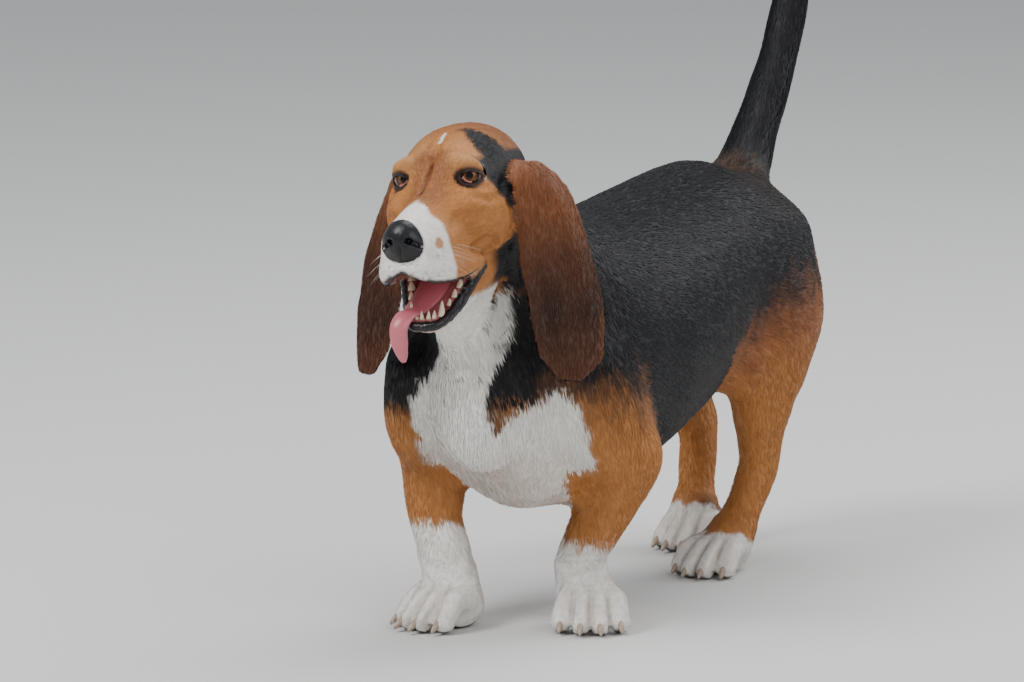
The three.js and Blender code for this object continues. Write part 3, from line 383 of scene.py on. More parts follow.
# Creases and folds, each a path in the head's or the dog's mm with a width and a depth
headFolds = [
    ([(0, -6, 10), (-1, -14, 4), (-2, -30, -7), (-2, -44, -15), (-1, -54, -20)], 2.0, 1.6),
    ([(-1, 2, 18), (-1, 10, 24), (-1, 20, 30)], 4.0, 1.0),
]
pairedFolds = [  # the left one of each pair
    ([(9, -4, 8), (12, 8, 22), (12, 22, 31)], 3.5, 1.2),
    ([(18, -12, -13), (30, -8, -18), (42, 4, -14)], 3.0, 1.5),
    ([(38, -4, -70), (41, 8, -60), (43, 20, -40)], 4.0, 2.2),
    ([(34, 2, -84), (38, 18, -82), (42, 40, -70)], 4.5, 2.5),
]
for path, width, depth in pairedFolds:
    for side in (1, -1):
        headFolds.append(([(side * x, y, z) for x, y, z in path], width, depth))
dogFolds = [
    ([(14, -348, 318), (12, -326, 284), (8, -306, 252)], 7, 4),
    ([(40, -318, 330), (36, -302, 292), (28, -292, 262)], 7, 3.5),
    ([(-26, -318, 326), (-24, -302, 288), (-18, -292, 258)], 7, 3.5),
    ([(-70, -250, 165), (-30, -255, 118), (10, -240, 106), (50, -215, 112)], 6, 3),
    ([(-60, -200, 118), (0, -190, 98), (45, -170, 104)], 6, 3),
    ([(72, -95, 190), (92, -110, 150), (86, -128, 118)], 6, 3),
    ([(-78, -130, 190), (-94, -150, 150), (-88, -168, 118)], 6, 3),
    ([(30, -190, 62), (52, -196, 54), (70, -176, 56)], 4, 2),
    ([(36, -176, 76), (56, -184, 70), (66, -160, 72)], 4, 1.6),
    ([(-84, -232, 62), (-62, -246, 54), (-42, -230, 56)], 4, 2),
    ([(-88, -218, 78), (-68, -232, 72), (-52, -216, 74)], 4, 1.6),
    ([(96, 96, 218), (84, 78, 240), (70, 70, 262)], 7, 3),
    ([(-96, 150, 218), (-84, 120, 240), (-70, 100, 262)], 7, 3),
]
sideFolds = [  # on both sides of the face, y and z only
    ([(-22, -61), (-8, -54), (6, -57), (13, -70)], 3.0, 2.3),
    ([(-14, -17), (0, -23), (14, -19), (24, -9)], 3.2, 1.3),
    ([(22, -28), (28, -46), (26, -66)], 4.0, 2.0),
    ([(-46, -38), (-30, -30), (-14, -30)], 3.5, 0.9),
]


def creases(points, folds, swell):  # each fold's depth in mm, less a swell on either side of it
    total = np.zeros(len(points))
    for path, width, depth in folds:
        far = alongPath(points, path)
        total += depth * np.exp(-(far / width) ** 2)
        total -= swell * depth * np.exp(-((far - 2 * width) / width) ** 2)
    return total


dogPoints = dogOf(points)
headPoints = headOf(points)
cheek = isNode(labels, "head") * ramp(20, 27, np.abs(headPoints[:, 0]))
push = -cheek * creases(headPoints[:, 1:], sideFolds, 0.4)
push -= creases(headPoints, headFolds, 0.35)
push -= creases(dogPoints, dogFolds, 0.4)
earish = isNode(labels, *ears)
paws = isNode(labels, *feet)
push += noiseAt(dogPoints, 34, 2) * np.where(earish, 0.8, 1.3) * (1 - pawish.mean())  # slow unevenness
push += noiseAt(dogPoints, 15, 5) * 0.35
jaw = isNode(labels, "lower_jaw")
jawLip = jaw * ramp(9, 7, alongPath(mirrored(headPoints), lipPath)) * ramp(-70, -50, headPoints[:, 1])
push[jaw] *= 0.3
push += jawLip * noiseAt(dogPoints, 4.2, 21) * 1.1  # an uneven lower lip
push += np.where(paws, 0.9 - 3.6 * toeGrooves(dogPoints), 0)
points = points + normals * (push * mm)[:, None]
x, y, z = dogPoints.T
wave = np.sin((y + 308) / 11 + z / 55) * np.clip((425 - z) / 90, 0, 1) * 1.9  # long folds down the ears
wave *= smoothed(skin, earish.astype(float)[:, None], 6, 0.5)[:, 0]
points[:, 0] += wave * np.sign(x) * mm
points[:, 2] = np.maximum(points[:, 2], skinFacts["standing"])  # stands on the floor
setCoords(skin, points)
bpy.ops.object.select_all(action="DESELECT")
skin.select_set(True)
bpy.context.view_layer.objects.active = skin
bpy.ops.object.shade_smooth()
print("skin shaped", flush=True)

# Colours of skin and coat, as linear values
black = (0.006, 0.006, 0.0075)
grizzle = (0.07, 0.035, 0.018)
tan = (0.40, 0.155, 0.042)
paleTan = (0.50, 0.27, 0.11)
rust = (0.22, 0.075, 0.026)
chestnut = (0.095, 0.033, 0.015)
darkEar = (0.036, 0.014, 0.009)
white = (0.72, 0.69, 0.64)
cream = (0.62, 0.52, 0.40)
pinkSkinAndShade = (0.60, 0.45, 0.38)
gum = (0.56, 0.17, 0.18)
lipBlack = (0.012, 0.010, 0.011)
# Outlines of the markings: the chest from the front, the crown from above, the cheek from the side, whose
# black is partly painted shadow under the ear
chestWhite = [
    (-12, 345), (-15, 300), (-20, 262), (-38, 238), (-60, 214), (-64, 190), (-58, 160), (-34, 130),
    (0, 90), (34, 90), (66, 122), (82, 150), (86, 185), (82, 212), (68, 227), (52, 214), (38, 204),
    (25, 190), (16, 214), (24, 245), (34, 262), (42, 290), (46, 345),
]
crownBlack = [(9, 42), (18, 31), (28, 24), (38, 20), (46, 16), (70, 14), (76, 60), (50, 56), (24, 50)]
cheekBlackAndEarShadow = [
    (9, 14), (8, 6), (10, -6), (14, -22), (26, -36), (43, -60), (30, -96), (130, -110), (130, -10), (64, 14),
]


def mouthFloor(b):  # the height of the mouth's floor over the head's y, in mm
    return -76 + 0.86 * (b + 8) - 6


def coatColours(world, normal, label):  # world in metres; label is each point's node
    p = dogOf(world)
    q = headOf(world)
    x, y, z = p.T
    rough = noiseAt(p, 9, 1) * 3 + noiseAt(p, 3.5, 3) * 1.6
    coarse = noiseAt(p, 24, 4)
    c = np.tile(np.array(black), (len(p), 1))
    # The croup carries grizzled hairs.
    croup = 0.8 * np.exp(-((x / 46) ** 2) - ((y - 215) / 44) ** 2) * (z > 320)
    c = mixTo(c, grizzle, croup * (0.6 + 0.6 * noiseAt(p, 5, 6)))
    # Chest
    front = ramp(0.0, 0.35, -normal[:, 1]) * (y < -120)
    patch = ramp(-2.5, 2.5, insideOf(chestWhite, x, z) + rough)
    under = ramp(0.1, 0.5, -normal[:, 2]) * (z < 175) * (y < -70) * ramp(74, 60, np.abs(x) + rough)
    c = mixTo(c, white, under)
    edge = ramp(-26, -6, insideOf(chestWhite, x, z) + rough) * (z < 270) * ramp(0, 30, x - 10)
    c = mixTo(c, tan, edge * front * 0.55 * (z < 215))
    c = mixTo(c, white, patch * front)
    # Pink skin under the brisket where the surface faces steeply down, partly its own colour and partly
    # painted shade
    c = mixTo(c, pinkSkinAndShade, under * ramp(0.45, 0.9, -normal[:, 2]) * 0.6)
    flecks = (noiseAt(p, 4.5, 9) > 0.62) * (np.abs(x - 15) < 40) * (z > 215) * (z < 320)
    c = mixTo(c, (0.15, 0.1, 0.08), flecks * front * patch * 0.7)
    # Forelegs: tan below a grizzled shoulder, with white socks.
    leg = isNode(label, *forelegs)
    upper = (np.abs(x) > 40) * (y < -90) * (y > -330)
    reach = np.where(x > 0, ramp(246, 168, z + rough * 4 + coarse * 10), ramp(210, 192, z + rough * 2))
    reach = reach * ramp(14, -14, y + 152 - 0.6 * np.maximum(0, 214 - z) + rough * 2 + 30 * (x < 0))
    tanLeg = np.maximum(upper * ramp(45, 66, np.abs(x)), leg) * reach * (1 - patch * front) * (1 - under)
    c = mixTo(c, tan, np.maximum(tanLeg, leg * ramp(165, 140, z)))
    c = mixTo(c, grizzle, tanLeg * ramp(165, 225, z) * 0.6 * (0.7 + 0.8 * noiseAt(p, 6, 7)))
    # Hindquarters
    hind = (y > 50) * ramp(20, 44, np.abs(x) + np.maximum(0, y - 190) * 0.6)
    top = 226 + (y - 100) * 0.31
    c = mixTo(c, rust, hind * ramp(34, -22, z - top + rough * 5 + coarse * 14) * 0.9)
    thigh = hind * ramp(0, -75, z - top + rough * 4 + coarse * 16)
    c = mixTo(c, tan, thigh * (0.85 + 0.25 * noiseAt(p, 7, 8)))
    hindLeg = isNode(label, *hindLegs) * ramp(185, 150, z + rough)
    c = mixTo(c, tan, hindLeg)
    # Painted shade: the thighs darken with the grizzle colour where they face back
    c = mixTo(c, grizzle, hind * ramp(0.1, 0.7, normal[:, 1]) * ramp(90, 150, z) * ramp(300, 240, z) * 0.75)
    # Socks and paws
    foreSock = np.where(x > 0, 72, 84) - (y + 170) * 0.1
    sock = np.where(y < 0, foreSock, 36 - 0.4 * (y - np.where(x > 8, 112, 222)))
    lower = isNode(label, *forelegs, *hindLegs, *feet)
    c = mixTo(c, white, lower * ramp(3, -3, z - sock + rough * 1.6))
    c = mixTo(c, paleTan, lower * (z < sock) * (noiseAt(p, 8, 11) > 0.6) * 0.12)
    paw = isNode(label, *feet)
    c = mixTo(c, (0.03, 0.025, 0.024), paw * ramp(-0.6, -0.85, normal[:, 2]) * (z < 10))
    # Painted shade: the lines between the toes are darkened to a greyish pink
    c = mixTo(c, (0.40, 0.31, 0.26), paw * toeGrooves(p) * 0.55)
    # Tail
    tail = isNode(label, "tail")
    c = mixTo(c, black, tail)
    c = mixTo(c, paleTan, tail * ramp(0.45, 0.8, normal[:, 1]) * ramp(430, 480, z) * 0.75)
    c = mixTo(c, cream, tail * ramp(590, 612, z + rough * 2))
    # The throat turns tan under the cheeks, and black towards the ears.
    throat = isNode(label, "neck") * ramp(314, 322, z + rough) * (y < -285)
    c = mixTo(c, tan, throat)
    c = mixTo(c, black, throat * ramp(34, 42, x + rough))
    # Head
    a, b, h = q.T
    head = isNode(label, "head")
    face = np.tile(np.array(tan), (len(p), 1))
    face = mixTo(face, paleTan, 0.35 * ramp(24, 6, np.hypot(np.abs(a) - 24, h - 15)))
    face = mixTo(face, rust, ramp(46, 78, b + rough * 2) * 0.9)
    bridge = ramp(22, 8, np.abs(a)) * ramp(-60, -44, b) * ramp(14, -2, b) * (h > -34)
    face = mixTo(face, rust, 0.75 * bridge)
    face = mixTo(face, rust, 0.45 * ramp(24, 44, b + rough) + 0.3 * np.clip(coarse, 0, 1))
    band = ramp(-3, 3, insideOf(crownBlack, a + rough * 0.4, b) + rough * 0.6) * ramp(2, 10, h)
    # The cheek's black is partly a marking and partly painted shadow where it runs down between the ear and
    # the cheek
    side = ramp(-3, 3, insideOf(cheekBlackAndEarShadow, b, h) + rough * 0.7)
    face = mixTo(face, black, np.maximum(band, side * ramp(28, 34, a)))
    face = mixTo(face, black, side * (a < 0) * ramp(34, 48, b) * ramp(10, -10, h))
    fleck = ramp(2.2, 0.8, np.abs(a + 1)) * ramp(16, 19, b) * ramp(34, 30, b) * (h > 10)
    face = mixTo(face, white, fleck)
    # Painted shade: dark brown along the crease down between the eyes
    face = mixTo(face, (0.05, 0.018, 0.01), 0.85 * ramp(2.6, 0.8, alongPath(q, headFolds[0][0])))
    blaze = 10 * ramp(20, 0, np.abs(a)) * (h > -34)
    muzzle = ramp(-3, 3, -58 - b + np.abs(h + 40) * -0.12 + blaze + rough * 0.8)
    face = mixTo(face, white, muzzle)
    spot = ramp(6.5, 4, np.linalg.norm(q - np.array([26, -74, -46]), axis=1) + rough * 0.5)
    face = mixTo(face, tan, spot * 0.9)
    ticks = (noiseAt(p, 2.6, 12) > 0.5) * ramp(-52, -60, h) * ramp(-72, -84, b)
    face = mixTo(face, (0.12, 0.1, 0.1), ticks * 0.7)
    # Dark lid skin round each eye opening, spreading into painted shade round the socket, with a spot of
    # painted shade in the inner corner
    opening = np.hypot(((np.abs(a) - 31) * 0.93 + (b + 3) * 0.37) / 14, (h + 1.5) / 9.5)
    opening = opening + 2 * (farFrom(q, eye["at"]) > 22)
    corner = 0.8 * ramp(9, 4, farFrom(q, (17, -3, -4)) + rough * 0.4)
    face = mixTo(face, (0.03, 0.014, 0.01), np.maximum(ramp(1.25, 0.85, opening + rough * 0.02), corner))
    lipEdge = alongPath(mirrored(q), upperLipPath)
    face = mixTo(face, lipBlack, ramp(7.5, 5, lipEdge + rough * 0.3) * ramp(-0.1, -0.5, normal[:, 2]))
    face = mixTo(face, lipBlack, ramp(10, 6, farFrom(q, (37, -5, -78))))
    roof = ramp(-0.2, -0.6, normal[:, 2]) * ramp(31, 27, np.abs(a) + ramp(-60, -95, b) * 14)
    roof = roof * (b > -88) * (b < 30) * (h > -84) * (h < -55)
    face = mixTo(face, (0.30, 0.09, 0.09), roof)
    c = np.where(head[:, None], face, c)
    # Lower jaw
    jaw = isNode(label, "lower_jaw")
    lip = alongPath(mirrored(q), lipPath)
    chin = np.tile(np.array(white), (len(p), 1))
    chin = mixTo(chin, cream, ramp(-40, -62, b) * 0.6)
    chin = mixTo(chin, tan, ramp(-34, -20, b + rough) * ramp(-107, -99, h + rough))
    # Black at the back of the jaw's left side, partly a marking and partly painted shadow under the ear
    chin = mixTo(chin, black, ramp(16, 30, b + rough) * ramp(24, 34, a))
    chin = mixTo(chin, lipBlack, ramp(8.0, 6.2, lip + rough * 0.5))
    halfMouth = np.interp(b, [-64, -50, -30, -8], [12.5, 19.5, 26.5, 35])
    within = ramp(1.0, -2.5, np.abs(a) - halfMouth) * ramp(-66, -62, b)
    inner = ramp(-2, 1.5, 3 * within - 1.5 + rough * 0.35) * within * (h > mouthFloor(b)) * (b < 2)
    chin = mixTo(chin, gum, inner)
    c = np.where(jaw[:, None], chin, c)
    # Ears
    ear = isNode(label, *ears)
    left = x > 0
    hang = np.clip((430 - z) / 190, 0, 1)
    coat = np.tile(np.array(chestnut), (len(p), 1))
    coat = mixTo(coat, rust, ramp(0.5, 0.1, hang + rough * 0.02) * 0.8)
    coat = mixTo(coat, rust, ramp(0.45, 0.95, np.where(left, -(y + 305) / 38, (x + 76) / 34)) * 0.55)
    coat = mixTo(coat, darkEar, np.exp(-((hang - 0.66) / 0.24) ** 2) * np.clip(0.75 + 0.3 * coarse, 0, 1))
    hem = left * ramp(0.2, 0.9, (y + 290) / 34) * ramp(0.55, 0.85, hang) * 0.8
    coat = mixTo(coat, (0.26, 0.10, 0.035), hem)
    c = np.where(ear[:, None], coat, c)
    # Every hair differs a little.
    c = c * (1 + 0.10 * noiseAt(p, 4, 13) + 0.06 * noiseAt(p, 40, 14))[:, None]
    return np.clip(c, 0.002, 0.95)


def wetness(world, normal, label):  # 1 on the lips, in the mouth and round the eyes
    q = headOf(world)
    a, b, h = q.T
    jaw, head = isNode(label, "lower_jaw"), isNode(label, "head")
    lowerLip = jaw * ramp(8.5, 6.5, alongPath(mirrored(q), lipPath))
    gums = jaw * (h > mouthFloor(b)) * (np.abs(a) < 30) * (b < 2) * (b > -66)
    upperLip = head * ramp(7.5, 5, alongPath(mirrored(q), upperLipPath)) * (normal[:, 2] < -0.2)
    roof = head * (normal[:, 2] < -0.3) * (np.abs(a) < 28) * (b > -90) * (b < 20) * (h > -84) * (h < -55)
    lids = ramp(14.2, 13, farFrom(q, eye["at"]))
    return np.clip(np.max([lowerLip, gums, upperLip, roof, lids], axis=0), 0, 1)


def colourPoints(obj, colours, name="coat"):
    layer = obj.data.color_attributes.new(name, "FLOAT_COLOR", "POINT")
    rgba = np.ones((len(colours), 4), np.float32)
    rgba[:, : colours.shape[1]] = colours
    layer.data.foreach_set("color", rgba.ravel())


def newMaterial(name, colour=None, roughness=None, specular=None):
    made = bpy.data.materials.new(name)
    made.use_nodes = True
    nodes, links = made.node_tree.nodes, made.node_tree.links
    shader = nodes["Principled BSDF"]
    if colour:
        shader.inputs["Base Color"].default_value = (*colour, 1)
    if roughness:
        shader.inputs["Roughness"].default_value = roughness
    if specular:
        shader.inputs["Specular IOR Level"].default_value = specular
    return made, nodes, links, shader


def attributeNode(nodes, name):
    node = nodes.new("ShaderNodeAttribute")
    node.attribute_name = name
    return node


def bumpFrom(nodes, links, shader, scale, strength, distance, kind="ShaderNodeTexNoise"):
    place = nodes.new("ShaderNodeTexCoord")
    texture = nodes.new(kind)
    texture.inputs["Scale"].default_value = scale
    links.new(place.outputs["Object"], texture.inputs["Vector"])
    bump = nodes.new("ShaderNodeBump")
    bump.inputs["Strength"].default_value = strength
    bump.inputs["Distance"].default_value = distance
    out = texture.outputs["Distance"] if kind == "ShaderNodeTexVoronoi" else texture.outputs[0]
    links.new(out, bump.inputs["Height"])
    links.new(bump.outputs["Normal"], shader.inputs["Normal"])


skinMaterial, nodes, links, shader = newMaterial("skin", specular=0.35)
links.new(attributeNode(nodes, "coat").outputs["Color"], shader.inputs["Base Color"])
wetNode = attributeNode(nodes, "wet")
dry = nodes.new("ShaderNodeMapRange")
dry.inputs["To Min"].default_value = 0.62
dry.inputs["To Max"].default_value = 0.22
links.new(wetNode.outputs["Fac"], dry.inputs["Value"])
links.new(dry.outputs["Result"], shader.inputs["Roughness"])
bumpFrom(nodes, links, shader, 900, 0.5, 0.0006)

coatMaterial, nodes, links, shader = newMaterial("coat", roughness=0.52, specular=0.18)
links.new(attributeNode(nodes, "coat").outputs["Color"], shader.inputs["Base Color"])

labels = labelsAt(points)
normals = normalsOf(skin)
skinColours = coatColours(points, normals, labels)
colourPoints(skin, skinColours)
wet = wetness(points, normals, labels)
colourPoints(skin, np.repeat(wet[:, None], 3, 1), "wet")
skin.data.materials.append(skinMaterial)
print("skin coloured", flush=True)

# The skin is unwrapped, and each tuft later takes its patch of the bake from where it stands.
bpy.ops.object.mode_set(mode="EDIT")
bpy.ops.mesh.select_all(action="SELECT")
bpy.ops.uv.smart_project(angle_limit=math.radians(72), island_margin=0.001)
bpy.ops.object.mode_set(mode="OBJECT")
skin.data.uv_layers[0].name = "OFBake"
print("skin unwrapped", flush=True)

# Lie of the coat
flow = np.zeros_like(points)
dogPoints, headPoints = dogOf(points), headOf(points)
x, y, z = dogPoints.T
flow[:] = (0, 1, -0.35)
chest = y < -170
flow[chest] = (0, 0.25, -1)
flow[:, 0] += np.clip(x / 120, -1, 1) * 0.15
neckish = isNode(labels, "neck")
flow[neckish] = (0, 0.55, -0.85)
legs = isNode(labels, *forelegs, *hindLegs) & (z < 215)
flow[legs] = (0, 0.25, -1)
paws = isNode(labels, *feet)
flow[paws] = (0.1, -0.7, -0.6)
flow[isNode(labels, *ears)] = (0, 0.12, -1)
tailish = isNode(labels, "tail")
tailLean = np.interp(z, [360, 440, 500, 560, 640], [0.6, 0.55, 0.4, 0.05, -0.3])
flow[tailish] = np.stack([0 * z, tailLean, 0 * z + 1], 1)[tailish]
local = np.zeros_like(points)
a, b, h = headPoints.T
local[:] = (0, 1, 0)
local[:, 0] = np.sign(a) * ramp(6, 40, np.abs(a)) * 0.45
local[:, 2] = np.where(b < -10, 0.15, np.where(h > 0, 0.25, -0.45))
local[:, 2] += np.where((b < -55) & (h < -50), -0.6, 0)
headFlow = local @ np.array(headTurn).T
headish = isNode(labels, "head", "lower_jaw")
flow[headish] = headFlow[headish]
flow = smoothed(skin, flow, 14, 0.5)
flow -= normals * np.sum(flow * normals, 1)[:, None]
flow /= np.maximum(np.linalg.norm(flow, axis=1), 1e-6)[:, None]

# How long and wide the tufts are, in mm, and how dense, per node; the torso comes first
lengths = np.full(len(points), 10.0)
width = np.full(len(points), 0.95)
density = np.full(len(points), 1.0)
tuftKinds = (
    (("neck",), 10, 0.95, 1.1), (("tail",), 12, 1.0, 1.3), (ears, 8.5, 0.65, 1.5),
    (forelegs + hindLegs, 7.5, 0.8, 1.25), (feet, 3.4, 0.6, 2.2),
    (("head",), 4.6, 0.55, 2.9), (("lower_jaw",), 3.6, 0.5, 2.2),
)
for names, tuftLong, tuftWide, dense in tuftKinds:
    here = isNode(labels, *names)
    lengths[here], width[here], density[here] = tuftLong, tuftWide, dense
onMuzzle = isNode(labels, "head") & (b < -50)
lengths[onMuzzle], width[onMuzzle] = 2.8, 0.45
lengths += 5 * tailish * ramp(0.3, 0.8, normals[:, 1])
away = farFrom(headPoints, eye["at"])
lengths *= np.where(headish, ramp(13, 26, away) * 0.6 + 0.4, 1)
bare = (wet > 0.25) | (headish & (away < 15.2)) | (paws & (normals[:, 2] < -0.5) & (z < 6))
nearNose = np.linalg.norm(headPoints - np.array([0, -92, -40]), axis=1) < 23
bare |= nearNose & headish & (b < -88)
density[bare] = 0
smoothKinds = smoothed(skin, np.stack([lengths, width], 1), 6, 0.5)
lengths, width = smoothKinds.T

# Tufts are spread over the skin's triangles by area and density. Lift, root and clear are in mm.
tuftFacts = dict(stray=0.075, patch=0.003, slope=0.10, lift=(0.30, 1.0), root=0.4, clear=0.05)
tuftCount, pieceCount = ((142000, 8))


def triangleData(name):  # three whole numbers of each triangle of the skin
    data = np.zeros(len(skin.data.loop_triangles) * 3, np.int32)
    skin.data.loop_triangles.foreach_get(name, data)
    return data.reshape(-1, 3)


skin.data.calc_loop_triangles()
tri, triLoops = triangleData("vertices"), triangleData("loops")
skinUv = np.zeros(len(skin.data.loops) * 2, np.float32)
skin.data.uv_layers[0].data.foreach_get("uv", skinUv)
skinUv = skinUv.reshape(-1, 2)
corner = points[tri]
area = np.linalg.norm(np.cross(corner[:, 1] - corner[:, 0], corner[:, 2] - corner[:, 0]), axis=1) / 2
weight = area * np.min(density[tri], axis=1)
pick = rng.choice(len(tri), tuftCount, p=weight / weight.sum())
r1, r2 = rng.random((2, tuftCount))
root = np.sqrt(r1)
bary = np.stack([1 - root, root * (1 - r2), root * r2], 1)


def blend(values):  # the three corners' values, mixed at each tuft's root
    return np.einsum("ij,ijk->ik", bary, values)


at = blend(points[tri[pick]])
up = blend(normals[tri[pick]])
up /= np.linalg.norm(up, axis=1)[:, None]
along = blend(flow[tri[pick]])
along += rng.normal(0, tuftFacts["stray"], along.shape)
along -= up * np.sum(along * up, 1)[:, None]
along /= np.maximum(np.linalg.norm(along, axis=1), 1e-6)[:, None]
sideways = np.cross(up, along)
long = blend(lengths[tri[pick]][:, :, None])[:, 0] * rng.uniform(0.75, 1.2, tuftCount) * mm
wide = blend(width[tri[pick]][:, :, None])[:, 0] * rng.uniform(0.8, 1.2, tuftCount) * mm
uvAt = blend(skinUv[triLoops[pick]])
rootLabel = labels[tri[pick][np.arange(tuftCount), np.argmax(bary, 1)]]
tuftColour = coatColours(at, up, rootLabel) * rng.uniform(0.9, 1.12, tuftCount)[:, None]
tuftNormals = up + sideways * rng.normal(0, 0.10, tuftCount)[:, None]
tuftNormals = tuftNormals + along * rng.normal(0.05, 0.10, tuftCount)[:, None]
tuftNormals /= np.linalg.norm(tuftNormals, axis=1)[:, None]
print("tufts placed", flush=True)

skinTree = BVHTree.FromPolygons([Vector(p) for p in points], tri.tolist())


def onSkin(spots, height):  # the nearest skin, raised by a height
    out = np.empty_like(spots)
    for i, spot in enumerate(spots):
        where, normal, _, _ = skinTree.find_nearest(Vector(spot))
        out[i] = where + normal * height[i]
    return out


leastLift, mostLift = tuftFacts["lift"]
lift = np.clip(long * tuftFacts["slope"], leastLift * mm, mostLift * mm) * rng.uniform(0.75, 1.15, tuftCount)
middle = onSkin(at + along * (long * 0.5)[:, None], lift * 0.85)
tip = onSkin(at + along * long[:, None], lift * rng.uniform(0.5, 1.0, tuftCount))
ring = []
for base, scale in ((at - up * tuftFacts["root"] * mm, 0.8), (middle, 1.0)):
    half = sideways * (wide * 0.5 * scale)[:, None]
    ring += [base - half, base + half, base + up * (wide * 0.28 * scale)[:, None]]
tuftPoints = np.stack(ring + [tip], 1)  # 7 for each tuft
tuftPoints[:, :, 2] = np.maximum(tuftPoints[:, :, 2], tuftFacts["clear"] * mm)  # above the floor
tuftFaces = np.array([
    [0, 2, 1], [0, 1, 3], [1, 4, 3], [1, 2, 4], [2, 5, 4],
    [0, 5, 2], [0, 3, 5], [3, 4, 6], [4, 5, 6], [5, 3, 6],
])
tuftPatch = np.array([[0, 0], [1, 0], [0.5, 1], [0, 0.5], [1, 0.5], [0.5, 0.8], [0.5, 0.5]])
tuftPatch = tuftPatch * tuftFacts["patch"] - tuftFacts["patch"] / 2  # round the root's place on the bake
print("tufts laid", flush=True)


def tuftMesh(title, chosen):
    count = len(chosen)
    mesh = bpy.data.meshes.new(title)
    verts = tuftPoints[chosen].reshape(-1, 3).astype(np.float32)
    faces = (tuftFaces[None] + (np.arange(count) * 7)[:, None, None]).reshape(-1, 3)
    mesh.vertices.add(len(verts))
    mesh.vertices.foreach_set("co", verts.ravel())
    mesh.loops.add(faces.size)
    mesh.loops.foreach_set("vertex_index", faces.ravel().astype(np.int32))
    mesh.polygons.add(len(faces))
    mesh.polygons.foreach_set("loop_start", np.arange(0, faces.size, 3, dtype=np.int32))
    mesh.polygons.foreach_set("loop_total", np.full(len(faces), 3, np.int32))
    mesh.polygons.foreach_set("use_smooth", np.ones(len(faces), bool))
    mesh.update()
    obj = bpy.data.objects.new(title, mesh)
    bpy.context.collection.objects.link(obj)
    colourPoints(obj, np.repeat(tuftColour[chosen], 7, 0))
    layer = mesh.uv_layers.new(name="OFBake")
    uvs = uvAt[chosen][:, None, :] + tuftPatch[tuftFaces.ravel()][None]
    layer.data.foreach_set("uv", np.clip(uvs, 0, 1).astype(np.float32).ravel())
    mesh.materials.append(coatMaterial)
    mesh.normals_split_custom_set_from_vertices(np.repeat(tuftNormals[chosen], 7, 0).tolist())
    return obj


coatPieces = []
order = np.argsort(at[:, 1], kind="stable")  # from the nose to the tail
for i, chosen in enumerate(np.array_split(order, pieceCount)):
    coatPieces.append(tuftMesh(f"coat_{i + 1}", chosen))
print("coat made", len(coatPieces), flush=True)


# Eyes: over the angle from the gaze come the pupil, the iris, its dark edge and the white.
eyeMaterial, nodes, links, shader = newMaterial("eye", roughness=0.05, specular=0.3)
links.new(attributeNode(nodes, "coat").outputs["Color"], shader.inputs["Base Color"])
gaze = {"left_eye": (0.30, -0.94, 0.10), "right_eye": (0.22, -0.96, 0.10)}
eyes = []
for name, side in (("left_eye", 1), ("right_eye", -1)):
    centre = headToWorld(eye["at"], side)
    bpy.ops.mesh.primitive_uv_sphere_add(segments=64, ring_count=48, radius=eye["radius"] * mm)
    ball = bpy.context.object
    ball.name = "ball_" + name
    look = Vector(gaze[name]).normalized()
    co = arrayOf(ball.data, "vertices", "co")
    turned = co @ np.array(look.to_track_quat("Z", "Y").to_matrix()).T
    angle = np.degrees(np.arccos(np.clip(turned @ np.array(look) / (eye["radius"] * mm), -1, 1)))
    bulge = 1 + 0.035 * ramp(36, 18, angle) - 0.2 * ramp(56, 78, angle)  # the back sinks into the head
    turned *= bulge[:, None]
    spoke = np.arctan2(co[:, 1], co[:, 0])
    iris = np.tile(np.array((0.15, 0.055, 0.015)), (len(co), 1))
    iris *= (0.7 + 0.3 * np.sin(spoke * 23) * np.sin(spoke * 9 + 1) + 0.3 * ramp(30, 18, angle))[:, None]
    ballColour = mixTo(iris, (0.002, 0.0015, 0.0015), ramp(17.5, 15, angle))
    ballColour = mixTo(ballColour, (0.010, 0.005, 0.004), ramp(31, 36, angle))
    ballColour = mixTo(ballColour, (0.22, 0.12, 0.10), ramp(41, 48, angle))
    setCoords(ball, turned + np.array(centre))
    colourPoints(ball, ballColour)
    ball.data.materials.append(eyeMaterial)
    ball.data.polygons.foreach_set("use_smooth", [True] * len(ball.data.polygons))
    eyes.append(ball)

# Rims along the lids' edges, and the third lid in the inner corner; angles in degrees, sizes in mm
rimFacts = dict(half=53, upper=12.4, lower=12.3, thick=1.2)
hawFacts = dict(inner=-46, turn=44, reach=11.55, wide=2.6, narrower=1.4, thick=0.5)


def rimShape(side, edge):
    rise, droop = lidEdges[edge]
    stations = []
    for k in range(25):
        row = k / 12 - 1
        turn = math.radians(row * rimFacts["half"] + eye["outward"])
        lift = math.radians(rise * (1 - row * row) - droop * row)
        p = Vector(eye["at"]) + eyeWay(turn, lift) * rimFacts[edge]
        size = rimFacts["thick"] * (1 - 0.5 * row ** 4) * mm
        out = headWay((side * math.sin(turn), -math.cos(turn), 0))
        stations.append((headToWorld(p, side), out, size, size * 0.8))
    return sweep(stations, 10)


def hawShape(side):
    stations = []
    for k in range(13):
        row = k / 12
        turn = math.radians(hawFacts["inner"] + eye["outward"] + hawFacts["turn"] * row)
        lift = math.radians(-2 - 20 * math.sin(row * math.pi * 0.5))
        p = Vector(eye["at"]) + eyeWay(turn, lift) * hawFacts["reach"]
        wide = (hawFacts["wide"] - hawFacts["narrower"] * row) * mm
        stations.append((headToWorld(p, side), headWay((0, 0, 1)), wide, hawFacts["thick"] * mm))
    return sweep(stations, 8)


rimMaterial = newMaterial("rim", (0.014, 0.010, 0.010), 0.28)[0]
hawMaterial = newMaterial("haw", (0.45, 0.15, 0.13), 0.15)[0]
rimShapes = [rimShape(side, edge) for side in (1, -1) for edge in ("upper", "lower")]
lids = meshOf("eye_rims", rimShapes, rimMaterial)
haw = meshOf("haws", [hawShape(side) for side in (1, -1)], hawMaterial)

